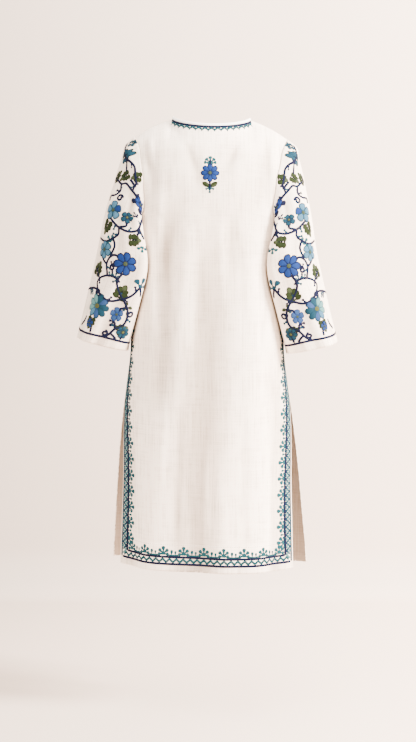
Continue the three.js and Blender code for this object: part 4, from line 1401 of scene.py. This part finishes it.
BLOOMS = (
    Bloom(43, 168, 24, 5, 20, Style.SKY_ROYAL),
    Bloom(71, 165, 16, 5, 4, Style.TEAL),
    Bloom(91, 54, 23, 7, 15, Style.ROYAL),
    Bloom(36, 270, 23, 6, 10, Style.SKY),
    Bloom(75, 290, 29, 7, 0, Style.ROYAL),
    Bloom(54, 404, 31, 9, -12, Style.HALF_TEAL),
    Bloom(91, 412, 18, 5, 10, Style.MID),
    Bloom(50, 448, 12, 5, 0, Style.ROYAL),
    Bloom(117, 450, 17, 7, 0, Style.TEAL),
)
LEAVES = (
    Leaflet(13, 6, 24, -35, 5, True), Leaflet(21, 30, 32, -30, 7, True), Leaflet(20, 88, 27, -10),
    Leaflet(38, 66, 26, 175), Leaflet(58, 24, 26, 160), Leaflet(35, 214, 30, 165),
    Leaflet(88, 216, 28, -60), Leaflet(29, 320, 30, -15), Leaflet(85, 360, 31, -20),
    Leaflet(51, 446, 25, 170), Leaflet(111, 444, 25, -60), Leaflet(108, 388, 19, -95, 3),
)
VINES = (
    ((5, 14), (13, 22), (20, 34), (27, 38), (30, 46), (36, 56)),
    ((22, 95), (38, 92), (48, 75), (62, 70), (78, 55), (92, 38), (104, 20)),
    ((38, 92), (43, 110), (36, 130), (24, 140), (29, 150)),
    ((20, 34), (27, 29), (33, 29)), ((27, 34), (36, 22), (46, 17), (56, 26), (66, 38)),
    ((66, 38), (64, 54), (66, 72)), ((66, 46), (56, 50), (50, 54)),
    ((38, 188), (57, 205), (80, 200), (98, 165), (108, 95), (112, 40)),
    ((57, 205), (70, 192), (71, 178)),
    ((57, 205), (57, 222), (50, 236), (36, 250), (13, 246)),
    ((98, 165), (106, 176), (114, 186)), ((98, 165), (97, 182), (92, 198)),
    ((50, 238), (53, 256), (48, 282)),
    ((67, 282), (56, 276), (48, 285), (45, 304), (52, 330)),
    ((29, 282), (38, 296), (46, 304)),
    ((24, 318), (32, 330), (40, 342)),
    (
        (76, 338), (66, 329), (52, 329), (40, 339), (37, 352), (47, 371), (59, 381), (72, 385), (90, 374),
        (106, 356), (116, 334),
    ),
    (
        (75, 314), (71, 334), (76, 352), (89, 371), (104, 390), (112, 408), (112, 430), (98, 446), (90, 466),
        (82, 474),
    ),
    ((4, 376), (18, 370), (31, 366), (43, 366)),
    ((104, 390), (94, 396), (92, 404)),
    ((92, 458), (100, 464), (108, 474)),
    ((34, 434), (30, 448), (22, 462)),
    ((116, 334), (124, 346), (128, 356)),
    ((58, 470), (57, 456)), ((117, 474), (117, 456)), ((97, 446), (93, 430)),
    ((70, 386), (64, 392)),
)
TWISTS = (
    Twist(84, 462, 5, 90, -1), Twist(48, 128, 6, 30, 1), Twist(82, 44, 5, 120, 1), Twist(46, 372, 7, 0, -1),
    Twist(117, 402, 6, 150, 1), Twist(56, 308, 5, 60, 1), Twist(96, 78, 6, 40, -1), Twist(76, 88, 5, 0, 1),
)
SPRIGS = (
    Twist(47, 245, 10, 60), Twist(116, 334, 15, -10), Twist(54, 302, 7, -30), Twist(56, 329, 7, 20),
    Twist(66, 329, 7, 0), Twist(92, 128, 9, 80), Twist(84, 150, 8, 120), Twist(122, 205, 10, -120),
    Twist(91, 430, 9, 150), Twist(104, 222, 9, -150), Twist(30, 372, 8, 150), Twist(24, 100, 8, 60),
)


def sleeve_flowers(sewing: Embroidery, front: bool, wander: float) -> None:
    """Sews the climbing flowers on one half of a sleeve.

    Args:
        sewing: The sleeve's embroidery.
        front: Whether this is the front half, which mirrors the back one across the outer side.
        wander: Sets how far, in millimetres, the half is shifted, so that no two halves match.
    """
    way = -1.0 if front else 1.0
    over, lower = wander * 0.6 * np.sin(wander), wander * np.sin(1.0 + wander)

    def place(angle: float, down: float, turn: float = 0.0) -> Spot:
        """A spot of the plan, on this half."""
        strayed = angle + over
        return Spot(
            PLAN_MIRROR - strayed if front else strayed, float(np.clip(down + lower, 6.0, 470.0)), way * turn
        )

    for k, vine in enumerate(VINES):
        spots = [place(*point) for point in vine]
        buds = (Thread.NAVY, Thread.TEAL)[k % 2] if len(vine) > 3 else None
        sewing.vine([(spot.p, spot.q) for spot in spots], buds)
    for leaf in LEAVES:
        sewing.leaf(place(leaf.angle, leaf.down, leaf.turn), LEAF_SCALE * leaf.size, leaf.lobes, leaf.cool)
    for twist in TWISTS:
        spot = place(twist.angle, twist.down, twist.turn)
        sewing.curl(spot, CURL_SCALE * twist.size, way * twist.way, Thread.NAVY)
    for k, twist in enumerate(SPRIGS):
        thread = (Thread.SEA, Thread.TEAL, Thread.NAVY)[k % 3]
        spot = place(twist.angle, twist.down, twist.turn)
        sewing.spray(spot, PALMETTE_SCALE * twist.size, thread, (-58.0, 0.0, 58.0), Spray.PALMETTE)
    for k, bloom in enumerate(BLOOMS):
        petals = bloom.petals + (1 if front and k % 2 else 0)
        sewing.flower(place(bloom.angle, bloom.down, bloom.turn), bloom.radius, petals, bloom.style)


def cuff_line(sewing: Embroidery) -> None:
    """Sews the wavering line round the cuff."""
    p = np.linspace(0.0, 360.0, 161)
    wave = 1.2 * np.sin(np.radians(p * 3.0))
    sewing.line(p, SLEEVE_LENGTH - CUFF_HEIGHT + wave, VINE_WIDTH, Thread.NAVY)


# ---- The neck's binding ----


@dataclass
class NeckBinding:
    """The strip folded over the neckline: an open fold that stands on the panels' edges all round."""

    tall: float = 7.0
    thick: float = 2.4
    gap: float = 0.7

    def build(self, back: Chart, front: Chart, finish: bpy.types.Material) -> bpy.types.Object:
        """Runs a rounded section round the neckline, past the edge and with the cloth's slope.

        Args:
            back: The back panel's chart.
            front: The front panel's.
            finish: The binding's material.

        Returns:
            The object.
        """
        u = np.linspace(-0.5, 0.5, 97)
        loops = []
        for chart, columns in ((back, u), (front, u[1:-1][::-1])):
            zero = np.zeros_like(columns)
            out = unit(chart.read(chart.out, columns, zero))
            edge = chart.place(columns, zero, zero - CLOTH / 2)
            loops.append((edge, out, chart.place(columns, zero + 20.0) - edge))
        edge, out, down = (np.concatenate(part) for part in zip(*loops))
        for _ in range(3):
            out = unit(out + np.roll(out, 1, 0) + np.roll(out, -1, 0))
        along = unit(np.roll(edge, -1, 0) - np.roll(edge, 1, 0))
        out = unit(out - (out * along).sum(-1, keepdims=True) * along)
        past = unit(np.cross(out, along))
        past *= -np.sign((past * down).sum(-1, keepdims=True))
        # The section: turned-in edges, flat sides and a rounded top.
        t = np.linspace(0.0, 1.0, 9)
        rise = mix(self.gap, self.tall * 0.8, t)
        side = self.thick / 2 * mix(0.12, 1.0, ease(t, -0.02, 0.3))
        round_over = np.linspace(0.0, np.pi, 9)[1:-1]
        high = np.concatenate([rise, self.tall * (0.8 + 0.2 * np.sin(round_over)), rise[::-1]])
        wide = np.concatenate([side, self.thick / 2 * np.cos(round_over), -side[::-1]])
        count = len(edge)
        pucker = 1.0 + 0.05 * np.sin(np.arange(count) * 1.9) + 0.04 * np.sin(np.arange(count) * 0.83)
        section = wide * pucker[:, None]
        points = edge[:, None] + past[:, None] * high[:, None] + out[:, None] * section[..., None]
        run, around = run_along(np.concatenate([edge, edge[:1]])), run_along(np.stack([high, wide], -1))
        maker = MeshBuilder()
        weave = np.stack(np.meshgrid(run, around, indexing="ij"), -1)
        maker.grid(points, weave, np.ones(3), flip=True, wrap=True)
        piece = maker.build("neck_band", finish)
        weld(piece)
        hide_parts("neck_binding")
        return piece


# ---- The studio ----


@dataclass
class Studio:
    """A floor that curves up into a wall, soft lights, and the camera behind the wearer."""

    floor: float = -1.418
    wall: float = -1.42
    cove: float = 0.16

    def build(self) -> None:
        """Makes the camera, the sweep and the lights."""
        self.camera()
        self.sweep()
        self.lights()

    def camera(self) -> None:
        """Places the camera, level with the waist and tipped down a little."""
        data = bpy.data.cameras.new("camera")
        data.lens, data.sensor_width, data.sensor_fit = 72.8, 36.0, "AUTO"
        camera = linked("camera", data)
        camera.location = (0.0084, 3.6, -0.428)
        camera.rotation_euler = (np.pi / 2 - np.arctan(71.0 / 1500.0), 0.0, np.pi)
        bpy.context.scene.camera = camera

    def sweep(self) -> None:
        """Makes the floor and wall as one sheet, with a quarter circle between."""
        turn = np.linspace(0.0, np.pi / 2, 13)
        y = np.concatenate([[6.0], self.wall + self.cove - self.cove * np.sin(turn), [self.wall]])
        z = np.concatenate([[self.floor], self.floor + self.cove - self.cove * np.cos(turn), [3.2]])
        x = np.linspace(-7.0, 7.0, 9)
        points = np.stack([np.repeat(x, len(y)), np.tile(y, len(x)), np.tile(z, len(x))], -1)
        n = len(y)
        i, j = np.meshgrid(np.arange(len(x) - 1), np.arange(n - 1), indexing="ij")
        faces = np.stack([i * n + j, i * n + j + 1, (i + 1) * n + j + 1, (i + 1) * n + j], -1).reshape(-1, 4)
        meshed("studio_sweep", points, faces.tolist(), StudioFinish().material())

    def lights(self) -> None:
        """Hangs wide soft lights and sets the room's even light."""
        for name, place, aim, size, power in (
            ("key", (-3.6, 1.6, 1.5), (0.0, 0.0, -0.5), 1.3, 1800.0),
            ("fill", (2.8, 3.0, -0.3), (0.0, 0.0, -0.6), 2.0, 220.0),
            ("top", (0.0, 0.9, 3.0), (0.0, -0.1, -0.8), 1.8, 240.0),
            ("front", (0.0, -1.2, 2.4), (0.0, -0.1, -0.5), 1.6, 60.0),
        ):
            data = bpy.data.lights.new(name, "AREA")
            data.shape, data.size, data.energy, data.color = "SQUARE", size, power, WARM
            light = linked(name, data)
            light.location = place
            away = np.array(place) - np.array(aim)
            flat = float(np.hypot(away[0], away[1]))
            light.rotation_euler = (np.arctan2(flat, away[2]), 0.0, np.arctan2(away[1], away[0]) + np.pi / 2)
        world = bpy.data.worlds.new("room")
        world.use_nodes = True
        background = world.node_tree.nodes["Background"]
        put(background, {"Color": (*WARM, 1.0), "Strength": 1.15})
        bpy.context.scene.world = world


# ---- The garment ----


def main() -> None:
    """Builds the studio, the embroidery and the cloth, in order."""
    logging.basicConfig(level=logging.INFO, format="%(message)s")
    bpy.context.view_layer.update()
    Studio().build()
    cloth, thread = ClothFinish().material(), ThreadFinish().material()
    binding = ClothFinish(
        "bleached_binding", light=(0.96, 0.93, 0.90), shade=(0.9, 0.86, 0.82), slub=0.3, weave=0.2
    ).material()
    charts = {panel.name: panel_chart(panel) for panel in (BACK, FRONT)}
    for side, name in ((1.0, "sleeve_left"), (-1.0, "sleeve_right")):
        charts[name] = sleeve_chart(side)
        contact_shadow(charts["back_panel"], charts[name], side)
    sewn: dict[str, list[bpy.types.Object]] = {name: [] for name in charts}
    for name in ("back_panel", "front_panel"):
        borders = Embroidery(charts[name])
        hem_border(borders)
        side_border(borders, Edge.LEFT)
        side_border(borders, Edge.RIGHT)
        neck_border(borders)
        sewn[name].append(borders.build(name.replace("panel", "borders"), thread))
        log.info("borders on %s", name)
    sprig = Embroidery(charts["back_panel"])
    back_sprig(sprig)
    u = np.linspace(-0.925, 0.79, 60)
    sprig.stitches(u, FACING_TOP + 0.5 + 0 * u, width=0.9)
    for edge, low, high in ((0.76, 620.0, 800.0), (-0.8, 740.0, 960.0)):
        s = np.linspace(low, high, 30)
        sprig.stitches(edge + 0 * s, s, width=0.8)
    sewn["back_panel"].append(sprig.build("back_sprig", thread))
    for name, wander in (("sleeve_left", 0.0), ("sleeve_right", 3.0)):
        flowers = Embroidery(charts[name])
        sleeve_flowers(flowers, False, wander)
        sleeve_flowers(flowers, True, wander + 4.0)
        cuff_line(flowers)
        sewn[name].append(flowers.build(name + "_flowers", thread))
        log.info("flowers on %s", name)
    for part, ends, flat, area in (
        ("back", ("_panel",), (0.56, 1.08), 0.5),
        ("front", ("_panel",), (0.6, 1.08), 0.5),
        ("sleeve_left", ("_upper", "_lower"), (0.5, 0.55), 0.2),
        ("sleeve_right", ("_upper", "_lower"), (0.5, 0.55), 0.2),
    ):
        nodes = tuple(part + end for end in ends)
        name = nodes[0].removesuffix("_upper")
        sheet = ClothPiece(part + "_cloth", nodes, charts[name], flat, area).build(cloth, sewn[name])
        log.info("%s: %d faces", sheet.name, len(sheet.data.polygons))
    NeckBinding().build(charts["back_panel"], charts["front_panel"], binding)
    log.info("neck_band")


if __name__ == "__main__":
    main()
